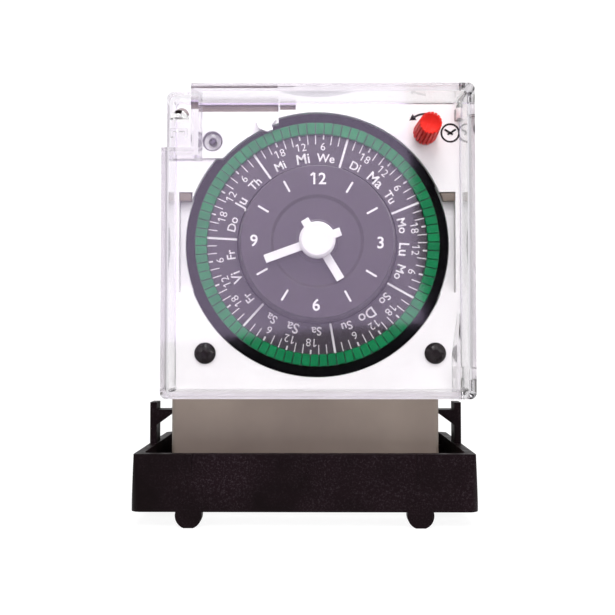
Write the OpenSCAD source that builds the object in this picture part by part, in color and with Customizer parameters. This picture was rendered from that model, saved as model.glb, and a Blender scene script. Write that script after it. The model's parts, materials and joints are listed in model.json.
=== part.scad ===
// Weekly time switch: a clear covered dial head standing in a black snap frame.
// X runs to the right, Y away from the viewer, Z up. The frame stands on Z = 0.

/* [Face] */
// Width and height of the square face plate
face_w = 72; // [70:1:80]
// Height of the plate's lower edge above the table
face_z = 31; // [31:0.5:36]
// How far the face sits to the hinge side of the frame's middle
face_shift = 3; // [2:0.5:4]
// Thickness of the face plate
plate_t = 1.6; // [1.4:0.1:2]
// Gap between the dial drum and the plate's round window
window_gap = 2.5; // [2.3:0.1:2.7]
// Depth of the finger pockets in the plate's sides
pocket_d = 2.3; // [2:0.1:2.4]
// Lower end of the finger pockets above the plate's lower edge
pocket_low = 24; // [20:1:28]
// Upper end of the finger pockets above the plate's lower edge
pocket_high = 49; // [45:1:52]
// Width of the pocket on the free side
pocket_w_free = 5; // [4:0.5:6]
// Width of the pocket on the hinge side
pocket_w_hinge = 7; // [6:0.5:8]
// Radius of the black plate screws' heads
plate_screw_r = 2.65; // [2.2:0.05:3]
// Radius of the clear status lens
lens_r = 2.45; // [2:0.05:2.8]

/* [Cover] */
// Depth of the clear cover in front of the plate
cover_d = 13; // [12.6:0.1:14]
// Wall of the clear cover
cover_wall = 1.6; // [1.2:0.1:1.8]
// Overhang of the cover beyond the plate at the free side and the top
cover_lip = 0.5; // [0.3:0.1:0.8]
// Overhang of the cover beyond the plate at the hinge side
cover_lip_hinge = 0.8; // [0.6:0.1:1]
// Overhang of the cover beyond the plate at the bottom
cover_lip_low = 1.35; // [1:0.05:1.4]
// Width of the stepped sealing corner
corner_w = 6.9; // [6:0.1:8]
// Height of the stepped sealing corner
corner_h = 15.1; // [13:0.1:17]
// How far the sealing corner steps back
corner_step = 7; // [5:0.5:8]
// Radius of the sealing dome
dome_r = 2.3; // [1.8:0.1:2.6]
// Radius of the hinge pins
hinge_pin_r = 0.6; // [0.5:0.05:0.65]
// Radius of the cover's hinge knuckles
knuckle_r = 1.2; // [1.1:0.05:1.25]
// Length of each hinge ear on the case
hinge_ear = 2.4; // [2:0.1:2.6]

/* [Week dial] */
// Distance from the dial drum to the case's inner walls
drum_margin = 3.9; // [3.8:0.1:4.2]
// Length of one tappet
tappet_long = 2.9; // [2.4:0.1:3.2]
// Width of one tappet's stem
tappet_w = 1.4; // [1.2:0.05:1.5]
// Gap between the heads of two tappets
head_gap = 0.22; // [0.16:0.02:0.4]
// How far the tappets stand out of the drum's face
tappet_proud = 1; // [0.6:0.1:1.2]
// Angle of the Tuesday boundary, clockwise from twelve
day_zero = 16.3; // [0:0.1:51]
// Distance from the fixed clock disc to the drum's edge
disc_margin = 10.9; // [10.6:0.1:11.4]
// Radius of the sunk middle of the clock disc
disc_mid_r = 11.2; // [10:0.1:12]
// Teeth on the dial's rim
rim_teeth = 88; // [84:1:92]
// Teeth on the knob's pinion
pinion_teeth = 15; // [14:1:16]

/* [Knob and hands] */
// Direction of the knob from the dial, clockwise from twelve
knob_angle = 44.16; // [42:0.1:46]
// Height of the red setting knob
knob_h = 9.7; // [8:0.1:10]
// Radius of the knob at its foot
knob_r = 3.05; // [2.8:0.05:3.4]
// Radius of the knob at its top
knob_top_r = 2.64; // [2.3:0.02:2.8]
// Ribs round the knob
knob_ribs = 24; // [20:1:26]
// Reach of the minute hand
minute_reach = 13.2; // [12:0.1:16]
// Reach of the hour hand
hour_reach = 10.8; // [9:0.1:12]
// Width of the hands
hand_w = 2; // [1.6:0.1:2.4]
// Radius of the hands' round middles
hub_r = 4.3; // [3.8:0.1:4.8]
// Direction of the minute hand, clockwise from twelve
minute_angle = 250; // [0:1:359]
// Direction of the hour hand, clockwise from twelve
hour_angle = 149; // [0:1:359]

/* [Rear housing] */
// Wall of the rear housing
housing_wall = 2; // [1.6:0.1:2.4]
// Depth of the front case behind the plate
case_d = 9.4; // [9.2:0.1:10]
// Wall of the front case
case_wall = 1.6; // [1.4:0.1:1.7]
// Thickness of the removable back cover
back_t = 2; // [1.6:0.1:2.4]
// Pitch of the wire terminals
terminal_pitch = 12; // [11:0.5:13]
// Number of wire terminals
terminals = 5; // [3:1:5]

/* [Snap frame] */
// Width of the frame at its foot
frame_w = 80.7; // [80:0.1:86]
// Depth of the frame
frame_d = 45; // [44:0.5:50]
// Wall of the frame at its top edge
frame_wall = 2; // [1.6:0.1:2.4]
// How far the frame's walls lean in from foot to top
frame_draft = 0.65; // [0.3:0.05:0.9]
// Height of the frame's lower edge
frame_low = 3.7; // [3.2:0.1:4.2]
// Height of the frame's upper edge
frame_top = 16.9; // [16.5:0.1:17.2]
// Radius of the round feet
foot_r = 3.1; // [2.8:0.1:3.4]
// Distance of the feet from the frame's middle
foot_x = 26.8; // [24:0.2:29]
// Width of the spring arms
arm_w = 5; // [4:0.5:8]
// Thickness of the spring arms
arm_t = 1.7; // [1.4:0.1:2]
// Height of the spring arms' tips
arm_top = 27.3; // [27:0.1:28]
// Height of the barbs' flat tops
barb_top = 25.4; // [25:0.1:26]
// Height of the barbs' slope
barb_h = 3.8; // [3:0.1:4.5]
// Distance between the two wall screws
screw_pitch = 54; // [50:1:56]
// Radius of the wall screw holes
screw_hole_r = 2.25; // [2:0.05:2.6]

/* [Hidden] */
$fn = 64;
// Gap between pieces that move past each other
run_gap = 0.3;
// Radial play of a shaft in its bore
shaft_gap = 0.05;
// Radial play of a screw or pin that is fixed
fixed_gap = 0.02;
// Gap of a piece that slides or seats on a stop
seat_gap = 0.1;

// The face and its planes, seen from the front
face_left = face_shift - face_w / 2;
face_right = face_shift + face_w / 2;
face_top = face_z + face_w;
dial_x = face_shift;
dial_z = face_z + face_w / 2;
cover_front = -frame_d / 2;
plate_front = cover_front + cover_d;
plate_back = plate_front + plate_t;
case_back = plate_back + case_d;
case_floor_t = 1.5;
case_floor = case_back - case_floor_t;
pocket_z0 = face_z + pocket_low;
pocket_z1 = face_z + pocket_high;
pocket_floor_t = 1;
pocket_floor = plate_front + pocket_d + pocket_floor_t;
corner_r = 1.5;
panel_front = plate_front - 0.5;
panel_low = face_top - 14.6;
panel_right = dial_x - 9.6;
slot_low = face_top - 3;
slot_end = dial_x - 5.3;
lens_x = face_left + 10;
lens_z = face_top - 10.4;

// The cover's box and its hinge
cover_left = face_left - cover_lip;
cover_right = face_right + cover_lip_hinge;
cover_low = face_z - cover_lip_low;
cover_top = face_top + cover_lip;
cover_rim = plate_front - seat_gap;
hinge_x = cover_right - knuckle_r;
hinge_y = plate_front - knuckle_r - run_gap;
hinge_rim = hinge_y + knuckle_r / 2;
ear_z = [face_z + 3, face_top - 2.7 - hinge_ear];
ear_r = knuckle_r - 0.1;
pin_z = [[cover_low + 0.8, ear_z[0] + hinge_ear], [ear_z[1], cover_top - 0.8]];
knuckle_z = [[cover_low, ear_z[0] - run_gap], [ear_z[1] + hinge_ear + run_gap, cover_top]];
dome_x = face_left + 2.5;
dome_z = face_top - 6.2;
dome_slot = [0.82, 0.95, 2.05];
corner_front = cover_front + corner_step;
gusset_back = plate_front - 4;
gusset_low = plate_screw_z() - 0.5;
gusset_top = gusset_low + 10;

// The dial's rings, from the case's walls inwards
drum_r = face_w / 2 - case_wall - drum_margin;
window_r = drum_r + window_gap;
panel_r = drum_r + 1.2;
tappet_r1 = drum_r - 0.3;
tappet_r0 = tappet_r1 - tappet_long;
disc_r = drum_r - disc_margin;
rim_step = 2.5;
gear_m = 2 * (drum_r + rim_step) / rim_teeth;
shroud_r = drum_r + rim_step + gear_m + 0.15;

// The dial's planes, from its gear to its face
rim_t = 2;
shroud_t = 0.6;
rim_front = plate_back + 2;
rim_back = rim_front + rim_t;
drum_face = plate_front + 0.2;
web_back = rim_front + 1.5;
dial_hub_r = 5;
dial_hub_back = case_floor - 1.2;
slot_w = tappet_w + 2 * shaft_gap;
slot_floor = rim_front - run_gap;
tappet_face = drum_face - tappet_proud;
tappet_back = slot_floor - seat_gap;
tappet_count = 84;
per_day = 12;
noon = 5;
tappet_step = 360 / tappet_count;

// The fixed tube, the hands' shafts and the stack of hands
tube_r = 3;
pipe_r = 2;
arbor_r = 1.2;
flange_r = 4.2;
hand_t = 0.8;
cap_t = 1.4;
cap_edge = 0.6;
cap_front = cover_front + cover_wall + 0.8;
minute_front = cap_front + cap_t;
hour_front = minute_front + hand_t + 0.4;
hour_back = hour_front + hand_t;
tail_r = 5.9;

// The fixed clock disc, from its face under the hands back into the drum
disc_t = 1.2;
disc_lean = 1.2;
disc_top_r = disc_r - disc_lean;
disc_front = hour_back + 0.6;
disc_sink = 0.7;
mid_front = disc_front + disc_sink;
mid_lean = 0.6;
disc_boss_r = 5.2;
tube_front = mid_front - 0.5;
disc_back = rim_front - 2 * run_gap;

// The knob and its pinion
gear_mid = gear_m * (rim_teeth + pinion_teeth) / 2;
knob_x = dial_x + gear_mid * sin(knob_angle);
knob_z = dial_z + gear_mid * cos(knob_angle);
mesh_dir = 90 - knob_angle;
backlash = 0.08;
spindle_r = 1.5;
knob_foot = plate_front - run_gap;
knob_groove = 0.5;
pinion_over = 0.2;
pinion_front = rim_front + shroud_t + run_gap;

// The switch lever in front of the rim gear
lever_front = plate_back + 0.4;
lever_t = 1.1;
lever_x = face_left + 13;
lever_z = face_top - 5;
lever_pin_r = 0.9;
lever_hub_r = 2;
lever_arm = 1.6;
pointer_angle = -22.5;
finger_r = 0.8;
finger_mid = drum_r + 0.4 + finger_r;
finger_x = dial_x + finger_mid * sin(pointer_angle);
finger_z = dial_z + finger_mid * cos(pointer_angle);
tail_long = 9;
plunger_r = 0.7;

// The rear housing, its chamber below the face and its back
housing_half = face_w / 2 - face_shift;
back_face = frame_d / 2 - frame_wall - run_gap;
back_seat = back_face - back_t;
ledge_top = frame_low + 2;
housing_low = ledge_top + seat_gap;
housing_top = face_top - 2;
neck_z = frame_top + 1.1;
neck_back = back_seat - 1.7;
chamber_front = plate_front - 0.5;
chamber_top = cover_low - run_gap;
cavity_half = housing_half - housing_wall;
front_wall = case_back + housing_wall;

// The movement and the electrics, in the space between the housing's front wall and its back
inner_d = back_seat - front_wall;
movement_margin = 6;
movement_half = cavity_half - dial_x - movement_margin;
movement_ear = movement_margin / 2;
movement_d = inner_d * 0.68;
movement_back = front_wall + movement_d;
ear_half = 4;
motor_r = movement_half / 2;
motor_gap = 0.5;
motor_d = inner_d - movement_d - motor_gap;
tube_back = front_wall + movement_d / 4;
arbor_back = front_wall + movement_d / 2;
board_y = front_wall + inner_d * 0.3;
board_t = 1.6;
board_z = face_z + 0.5;
board_h = dial_z - movement_half - 1.5 - board_z;
part_y = board_y + board_t;
part_d = back_seat - part_y;
battery_r = board_h * 0.43;
battery_d = part_d * 0.55;
capacitor_d = part_d * 0.7;
switch_w = 4.8;
switch_h = 8.8;
boss_r = 2.5;
case_screw_x = [dial_x - 11, dial_x + 11];
case_screw_z = [face_z + 5, face_top - 5];
case_screw_long = board_y - 1.2 - case_floor;
thread_r = 1;
terminal_x = [for (i = [0 : terminals - 1]) (i - (terminals - 1) / 2) * terminal_pitch];
screw_z = housing_low + 5.7;
clamp_half = 3.6;
clamp_z0 = housing_low + housing_wall + 0.4;
clamp_h = 7.4;
clamp_front = chamber_front + housing_wall + 0.5;
clamp_d = 7.1;
wire_half = 2.4;
wire_front = clamp_front + 2.3;
wire_d = 4.6;
block_top = clamp_z0 + clamp_h + 2;
block_back = clamp_front + clamp_d + 4;
access_r = 2.6;
back_screw_x = cavity_half - 2.5;
back_screw_z = [neck_z + 5.5, housing_top - 4.5];
back_screw_long = inner_d * 0.48;
back_boss_y = front_wall + inner_d * 0.4;
label_half = 20;
label_h = 24;
label_sink = 0.4;
label_low = dial_z - 16;
vents = 5;
vent_half = 18;
vent_h = 1.6;
vent_pitch = 3.2;
vent_low = dial_z + 14;

// The snap frame's inside
frame_half = frame_w / 2;
frame_in_half = frame_half - frame_draft - frame_wall;
frame_in_front = -frame_d / 2 + frame_draft + frame_wall;
frame_in_back = frame_d / 2 - frame_wall;
frame_corner_r = 2.5;
foot_flat = 0.2;
wall_screw_z = (frame_low + frame_top) / 2;
rib_t = 2;
rib_top = frame_top - 3;

// Flat outline drawn in X and Z, from its back at y_back towards the viewer
module slab(y_back, thick) {
    translate([0, y_back, 0]) rotate([90, 0, 0]) linear_extrude(thick) children();
}

// Round bar along Y, from its back end towards the viewer
module post(x, z, y_back, long, r) {
    translate([x, y_back, z]) rotate([90, 0, 0]) cylinder(h = long, r = r);
}

// Round tapered bar along Y, from its back end towards the viewer
module taper(x, z, y_back, long, r_back, r_front) {
    translate([x, y_back, z]) rotate([90, 0, 0]) cylinder(h = long, r1 = r_back, r2 = r_front);
}

// Rectangle between two corners
module rect(x0, z0, x1, z1) {
    translate([x0, z0]) square([x1 - x0, z1 - z0]);
}

// Rectangle with round corners
module round_rect(x0, z0, x1, z1, r) {
    rect(x0 + r, z0, x1 - r, z1);
    rect(x0, z0 + r, x1, z1 - r);
    for (x = [x0 + r, x1 - r], z = [z0 + r, z1 - r]) translate([x, z]) circle(r);
}

// Box between two corners
module block(low, high) {
    translate(low) cube(high - low);
}

// Upright box with round upright edges
module upright_box(low, high, r) {
    translate([0, 0, low[2]]) linear_extrude(high[2] - low[2]) round_rect(low[0], low[1], high[0], high[1], r);
}

// Involute gear outline with its first tooth on +X
function involute(a) = tan(a) * 180 / PI - a;
function tooth_half(r, pitch_r, teeth) =
    90 / teeth + involute(20) - involute(acos(min(1, pitch_r * cos(20) / r))) - backlash / pitch_r * 90 / PI;
function tooth_side(pitch_r, teeth, side) =
    [for (r = side > 0 ? [pitch_r + gear_m, pitch_r, pitch_r - 1.25 * gear_m]
        : [pitch_r - 1.25 * gear_m, pitch_r, pitch_r + gear_m]) [r, side * tooth_half(r, pitch_r, teeth)]];
module gear(teeth) {
    pitch_r = teeth * gear_m / 2;
    tooth = concat(tooth_side(pitch_r, teeth, -1), tooth_side(pitch_r, teeth, 1));
    polygon([for (i = [0 : teeth - 1], p = tooth)
        let (a = i * 360 / teeth + p[1]) [p[0] * cos(a), p[0] * sin(a)]]);
}

// Moves a flat outline to the dial's axis, turned clockwise
module on_dial(clockwise) {
    translate([dial_x, dial_z]) rotate(-clockwise) children();
}

// Plain screw along Y with a domed head, its thread going away from the viewer
module front_screw(x, z, head_back, head_r, head_h, long) {
    post(x, z, head_back + long, long + head_h / 2, thread_r);
    intersection() {
        post(x, z, head_back, head_h, head_r);
        translate([x, head_back + head_r - head_h / 2, z]) sphere(r = head_r * 1.3);
    }
}

// Black drafted ring with side ledges, spring arms with barbs, guide ribs and round feet
module frame_outer() {
    intersection() {
        translate([0, frame_d, 0]) rotate([90, 0, 0]) linear_extrude(2 * frame_d) polygon([
            [-frame_half, frame_low], [frame_half, frame_low],
            [frame_half - frame_draft, frame_top], [-frame_half + frame_draft, frame_top]]);
        rotate([90, 0, 90]) translate([0, 0, -frame_w]) linear_extrude(2 * frame_w) polygon([
            [-frame_d / 2, frame_low], [frame_d / 2, frame_low],
            [frame_d / 2, frame_top], [-frame_d / 2 + frame_draft, frame_top]]);
        upright_box([-frame_half, -frame_d / 2, 0], [frame_half, frame_d / 2, frame_top + 1], frame_corner_r);
    }
}

module spring_arm() {
    arm_out = frame_half - frame_draft;
    arm_in = arm_out - arm_t;
    barb_tip = housing_half + run_gap + 0.2;
    block([arm_in, -arm_w / 2, frame_low + 2], [arm_out, arm_w / 2, arm_top]);
    translate([0, arm_w / 2, 0]) rotate([90, 0, 0]) linear_extrude(arm_w) polygon([
        [arm_in, barb_top - barb_h], [arm_in + arm_t / 2, barb_top - barb_h], [arm_in + arm_t / 2, barb_top],
        [barb_tip, barb_top], [barb_tip, barb_top - 0.5]]);
}

module mounting_frame() color("#1b1719") difference() {
    foot_z = foot_r - foot_flat;
    union() {
        difference() {
            frame_outer();
            upright_box([-frame_in_half, frame_in_front, 0], [frame_in_half, frame_in_back, frame_top + 1],
                frame_corner_r - frame_wall / 2);
        }
        for (side = [0, 1]) mirror([side, 0, 0]) {
            spring_arm();
            block([cavity_half + 0.3, chamber_front - run_gap - rib_t, frame_low],
                [frame_in_half + 0.1, neck_back + run_gap + rib_t, ledge_top]);
            for (y = [chamber_front - run_gap - rib_t, neck_back + run_gap])
                block([cavity_half + 0.3, y, frame_low], [frame_in_half + 0.1, y + rib_t, rib_top]);
            post(foot_x, foot_z, frame_in_front, frame_in_front + frame_d / 2, foot_r);
            post(foot_x, foot_z, frame_d / 2, frame_wall, foot_r);
        }
        for (x = [-foot_x, 0, foot_x])
            block([x - 0.6, -frame_d / 2 + 0.25, frame_low], [x + 0.6, frame_in_front, frame_top]);
    }
    for (x = [-1, 1]) post(x * screw_pitch / 2, wall_screw_z, frame_d, frame_d, screw_hole_r);
    block([-frame_w, -frame_d, -foot_r], [frame_w, frame_d, 0]);
}

// Grey moulded shell: the movement's space behind the face and the terminal chamber below it
module rear_housing() color("#86786f") difference() {
    union() {
        upright_box([-housing_half, case_back, chamber_top - 4], [housing_half, back_seat, housing_top], corner_r / 3);
        upright_box([-housing_half, chamber_front, neck_z], [housing_half, back_seat, chamber_top], corner_r);
        upright_box([-housing_half, chamber_front, housing_low], [housing_half, neck_back, chamber_top], corner_r);
    }
    difference() {
        union() {
            block([-cavity_half, front_wall, neck_z + housing_wall],
                [cavity_half, back_seat + 1, housing_top - housing_wall]);
            block([-cavity_half, chamber_front + housing_wall, housing_low + housing_wall],
                [cavity_half, neck_back - housing_wall, chamber_top - housing_wall]);
        }
        for (x = case_screw_x, z = case_screw_z) post(x, z, board_y, board_y - case_back, boss_r);
        for (x = [-back_screw_x, back_screw_x], z = back_screw_z) {
            post(x, z, back_seat, back_seat - back_boss_y, boss_r);
            block([min(x, x * 2), back_boss_y, z - boss_r / 2], [max(x, x * 2), back_seat, z + boss_r / 2]);
        }
    }
    post(dial_x, dial_z, front_wall + 1, 2 * housing_wall, tube_r + run_gap);
    for (x = case_screw_x, z = case_screw_z) post(x, z, board_y - 1, board_y, thread_r + fixed_gap);
    for (x = [-back_screw_x, back_screw_x], z = back_screw_z)
        post(x, z, back_seat + 1, back_screw_long + 1, thread_r + fixed_gap);
    for (x = [-1, 1]) post(dial_x + x * (movement_half + movement_ear), dial_z, front_wall + 1, 2 * housing_wall,
        thread_r + fixed_gap);
    for (x = terminal_x) {
        post(x, screw_z, chamber_front + housing_wall + 1, housing_wall + 2, access_r);
        block([x - wire_half - 0.8, wire_front - 0.8, 0],
            [x + wire_half + 0.8, wire_front + wire_d + 0.6, housing_low + housing_wall + 1]);
    }
}

// Removable back with four sunk screws, a shallow label field and a row of vent slots
module back_cover() color("#7d7067") difference() {
    slab(back_face, back_t) round_rect(-housing_half, neck_z, housing_half, housing_top, corner_r);
    slab(back_face + 1, 1 + label_sink) round_rect(-label_half, label_low, label_half, label_low + label_h, 1);
    for (i = [0 : vents - 1]) slab(back_face + 1, back_t + 2) round_rect(-vent_half, vent_low + i * vent_pitch,
        vent_half, vent_low + i * vent_pitch + vent_h, vent_h / 2 - 0.1);
    for (x = [-back_screw_x, back_screw_x], z = back_screw_z) {
        post(x, z, back_face + 1, back_t + 2, thread_r + shaft_gap);
        post(x, z, back_face + 1, back_t / 2 + 1, boss_r);
    }
}

module back_screws() color("silver") {
    for (x = [-back_screw_x, back_screw_x], z = back_screw_z) {
        post(x, z, back_face - back_t / 2, back_screw_long, thread_r);
        difference() {
            post(x, z, back_face, back_t / 2, boss_r - 0.2);
            translate([x - 2, back_face - 0.4, z - 0.3]) cube([4, 1, 0.6]);
        }
    }
}

// White tray behind the plate with its sill, hinge ears, screw posts, shaft seats and a bar behind the top slot
module front_case() color("white") difference() {
    union() {
        difference() {
            slab(case_back, case_d) round_rect(face_left, face_z, face_right, face_top, corner_r);
            slab(case_floor, case_d) round_rect(face_left + case_wall, face_z + case_wall,
                face_right - case_wall, face_top - case_wall, corner_r / 2);
        }
        for (x = plate_screw_x()) post(x, plate_screw_z(), case_floor, case_floor - plate_back, plate_screw_r + 0.5);
        for (z = ear_z) hinge_ear(z);
        sill();
        block([face_left + 5, plate_back + seat_gap, face_top - 2.7], [slot_end, plate_back + 1.7, face_top - case_wall + 0.1]);
    }
    for (x = plate_screw_x()) post(x, plate_screw_z(), case_floor, case_d, thread_r + fixed_gap);
    for (x = case_screw_x, z = case_screw_z) post(x, z, case_back + 1, 2 * case_floor_t, thread_r + shaft_gap);
    post(dial_x, dial_z, case_back + 1, 2 * case_floor_t, tube_r + shaft_gap);
    post(knob_x, knob_z, case_floor + 1, 2, spindle_r + shaft_gap);
    post(lever_x, lever_z, case_floor + 1, 2, lever_pin_r + fixed_gap);
    for (z = ear_z) translate([hinge_x, hinge_y, z - 1]) cylinder(h = hinge_ear + 2, r = hinge_pin_r + fixed_gap);
}

function plate_screw_x() = [face_left + 8.3, face_right - 6.9];
function plate_screw_z() = face_z + 9;

// Sill below the plate that the cover's lower wall closes against
module sill() {
    slab(plate_back, plate_t) difference() {
        sill_outline();
        round_rect(face_left - seat_gap, face_z - seat_gap, face_right + seat_gap, face_top, corner_r);
    }
    slab(plate_back + 2, 2) difference() {
        sill_outline();
        rect(face_left - 1, face_z + 0.1, face_right + 1, face_top);
    }
}

module sill_outline() round_rect(face_left, cover_low, face_right, face_z + 2 * corner_r, corner_r);

// Ear of the case that carries one hinge pin
module hinge_ear(z) {
    translate([hinge_x, hinge_y, z]) cylinder(h = hinge_ear, r = ear_r);
    block([hinge_x - ear_r, hinge_y, z], [face_right, plate_back + 2, z + hinge_ear]);
}

module case_screws() color("silver") {
    for (x = case_screw_x, z = case_screw_z) front_screw(x, z, case_floor, 2.2, 1.2, case_screw_long);
}

// White face with the round window, two finger pockets, a top slot, a raised panel and the pointer
module face_plate() color("#f4f2f2") difference() {
    union() {
        slab(plate_back, plate_t) difference() {
            round_rect(face_left, face_z, face_right, face_top, corner_r);
            translate([dial_x, dial_z]) circle(window_r);
            for (x = pocket_span()) rect(x[0], pocket_z0, x[1], pocket_z1);
            rect(face_left + 5, slot_low, panel_right, face_top - 0.8);
            rect(panel_right + 0.3, slot_low + 0.6, slot_end, face_top - 1);
        }
        for (x = pocket_span()) pocket_tray(x[0], x[1]);
        slab(plate_back, plate_back - panel_front) difference() {
            rect(face_left + 5, panel_low, panel_right, slot_low);
            translate([dial_x, dial_z]) circle(panel_r);
        }
        pointer();
    }
    for (x = plate_screw_x()) post(x, plate_screw_z(), plate_back + 1, plate_t + 2, thread_r + shaft_gap);
    post(lens_x, lens_z, plate_back + 1, plate_t + 2, lens_r + shaft_gap);
    post(knob_x, knob_z, plate_back + 1, plate_t + 2, spindle_r + 0.4);
    for (z = ear_z) block([hinge_x - ear_r - run_gap, plate_front - 2, z - run_gap],
        [face_right + 1, plate_back + 3, z + hinge_ear + run_gap]);
}

// Left and right ends of the two finger pockets, inside the case's walls
function pocket_span() = [[face_left + case_wall + seat_gap, face_left + pocket_w_free],
    [face_right - pocket_w_hinge, face_right - case_wall - seat_gap]];

// Floor and end walls of one finger pocket
module pocket_tray(x0, x1) {
    slab(pocket_floor, pocket_floor_t) difference() {
        rect(x0, pocket_z0 - case_wall, x1, pocket_z1 + case_wall);
        translate([dial_x, dial_z]) circle(window_r);
    }
    slab(pocket_floor, pocket_floor - plate_back + 0.1) difference() {
        rect(x0, pocket_z0 - case_wall, x1, pocket_z1 + case_wall);
        rect(x0 - 1, pocket_z0, x1 + 1, pocket_z1);
        translate([dial_x, dial_z]) circle(window_r);
    }
}

// Blunt nose that marks the time, standing over the ends of the tappets
module pointer() {
    nose_back = tappet_face - run_gap;
    nose_r = tappet_r1 + 0.1;
    foot_r0 = panel_r + 0.2;
    root_r = window_r + 0.8;
    nose_half = 0.75;
    root_half = 2.4;
    slab(nose_back, 0.8) on_dial(pointer_angle) polygon([[-nose_half, nose_r], [nose_half, nose_r],
        [nose_half + 0.2, foot_r0 - 0.4], [root_half, foot_r0 + 0.3], [root_half, root_r], [-root_half, root_r],
        [-root_half, foot_r0]]);
    slab(plate_front, plate_front - nose_back + 0.1) on_dial(pointer_angle)
        rect(-root_half, foot_r0 + 0.3, root_half, root_r);
}

module plate_screws() color("#17141a") {
    for (x = plate_screw_x()) front_screw(x, plate_screw_z(), plate_front, plate_screw_r, 1.4, 7);
}

module status_lens() color("#cfc6d8") {
    post(lens_x, lens_z, plate_back + 0.9, 0.9, lens_r + 0.5);
    post(lens_x, lens_z, plate_back, plate_back - panel_front + 0.3, lens_r);
    intersection() {
        post(lens_x, lens_z, panel_front, 2, lens_r);
        translate([lens_x, panel_front + lens_r, lens_z]) sphere(r = lens_r * 1.35);
    }
}

module hinge_pins() color("silver") {
    for (p = pin_z) translate([hinge_x, hinge_y, p[0]]) cylinder(h = p[1] - p[0], r = hinge_pin_r);
}

// Fixed brass tube that the dial turns on and the clock disc sits on
module centre_tube() color("#b89a52") difference() {
    union() {
        post(dial_x, dial_z, tube_back, tube_back - tube_front, tube_r);
        post(dial_x, dial_z, mid_front + disc_t + 0.8, 0.8, flange_r);
    }
    post(dial_x, dial_z, tube_back + 1, tube_back - cover_front, pipe_r + shaft_gap);
}

// Fixed clock disc: a leaning cup that stands out of the drum, with a sunk middle and a low boss
module clock_disc() color("#55495c") difference() {
    union() {
        difference() {
            union() {
                disc_cup();
                post(dial_x, dial_z, mid_front + disc_t, disc_sink + disc_t / 2, disc_mid_r + mid_lean);
            }
            taper(dial_x, dial_z, mid_front, 2 * disc_sink, disc_mid_r - mid_lean, disc_mid_r + mid_lean);
        }
        post(dial_x, dial_z, mid_front + disc_t / 2, mid_front + disc_t / 2 - tube_front, disc_boss_r);
    }
    post(dial_x, dial_z, mid_front + disc_t + 1, 2 * disc_t + disc_sink, tube_r + fixed_gap);
}

// The disc's leaning wall and face, open at the back
module disc_cup() difference() {
    union() {
        post(dial_x, dial_z, disc_back, disc_back - drum_face, disc_r);
        taper(dial_x, dial_z, drum_face, drum_face - disc_front, disc_r, disc_top_r);
    }
    post(dial_x, dial_z, disc_back + 1, disc_back + 1 - disc_front - disc_t, disc_top_r - disc_t);
}

// Sealed box of the clockwork with an ear at each side
module movement_case() color("#3a3a3d") difference() {
    union() {
        slab(movement_back, movement_d) round_rect(dial_x - movement_half, dial_z - movement_half,
            dial_x + movement_half, dial_z + movement_half, 3);
        slab(tube_back, tube_back - front_wall) rect(dial_x - movement_half - movement_margin + 0.4, dial_z - ear_half,
            dial_x + movement_half + movement_margin - 0.4, dial_z + ear_half);
    }
    post(dial_x, dial_z, tube_back, movement_d, tube_r + fixed_gap);
    post(dial_x, dial_z, arbor_back, movement_d, arbor_r + shaft_gap);
    post(dial_x, dial_z, tube_back + 0.3, movement_d, pipe_r + run_gap);
    for (x = [-1, 1]) post(dial_x + x * (movement_half + movement_ear), dial_z, tube_back + 1, movement_d, thread_r + shaft_gap);
}

module movement_screws() color("silver") {
    for (x = [-1, 1]) {
        post(dial_x + x * (movement_half + movement_ear), dial_z, tube_back, tube_back - front_wall + housing_wall, thread_r);
        post(dial_x + x * (movement_half + movement_ear), dial_z, tube_back + 1.3, 1.3, 2 * thread_r);
    }
}

// Round motor can on the back of the clockwork
module drive_motor() color("#c4c4c2") {
    post(dial_x, dial_z, movement_back + motor_d, motor_d, motor_r);
    slab(movement_back + 1, 1) rect(dial_x - motor_r - ear_half, dial_z - ear_half, dial_x + motor_r + ear_half,
        dial_z + ear_half);
}

module circuit_board() color("#2f6b45") {
    slab(board_y + board_t, board_t) rect(-cavity_half + 4, board_z, cavity_half - 4, board_z + board_h);
}

module backup_battery() color("#b9bcc0") {
    x = -cavity_half / 2;
    post(x, board_z + board_h / 2, part_y + battery_d, battery_d, battery_r);
    post(x, board_z + board_h / 2, part_y + battery_d + 0.6, 1, battery_r * 0.7);
}

module dropper_capacitor() color("#b5892d") {
    slab(part_y + capacitor_d, capacitor_d) round_rect(cavity_half * 0.13, board_z + board_h * 0.15, cavity_half * 0.7,
        board_z + board_h * 0.87, 1);
}

// Small snap switch with its plunger under the lever's tail
module microswitch() color("#232325") {
    x0 = face_left + case_wall + 0.2;
    x1 = x0 + switch_w;
    top = lever_z - 2.8;
    block([x0, lever_front + 0.1, top - switch_h], [x1, case_floor, top]);
    translate([(x0 + x1) / 2, lever_front + lever_t / 2 + 0.3, top - 1]) cylinder(h = 1.8, r = plunger_r);
}

module lever_pin() color("silver") {
    post(lever_x, lever_z, case_floor + 1, case_floor + 1 - plate_back, lever_pin_r);
}

// Two armed lever: a round finger feels the tappets and the tail works the switch
module switch_lever() color("#c9c3b4") difference() {
    arm_turn = atan2(finger_z - lever_z, finger_x - lever_x);
    arm_long = norm([finger_x - lever_x, finger_z - lever_z]);
    union() {
        post(lever_x, lever_z, case_floor - run_gap, case_floor - run_gap - lever_front, lever_hub_r);
        slab(lever_front + lever_t, lever_t) {
            translate([lever_x, lever_z]) rotate(arm_turn) rect(0, -lever_arm / 2, arm_long, lever_arm / 2);
            translate([finger_x, finger_z]) circle(finger_r);
            rect(lever_x - tail_long, lever_z - lever_arm / 2 - 0.2, lever_x, lever_z + lever_arm / 2 - 0.2);
        }
    }
    post(lever_x, lever_z, case_floor + 1, case_d + 1, lever_pin_r + shaft_gap);
}

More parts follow.
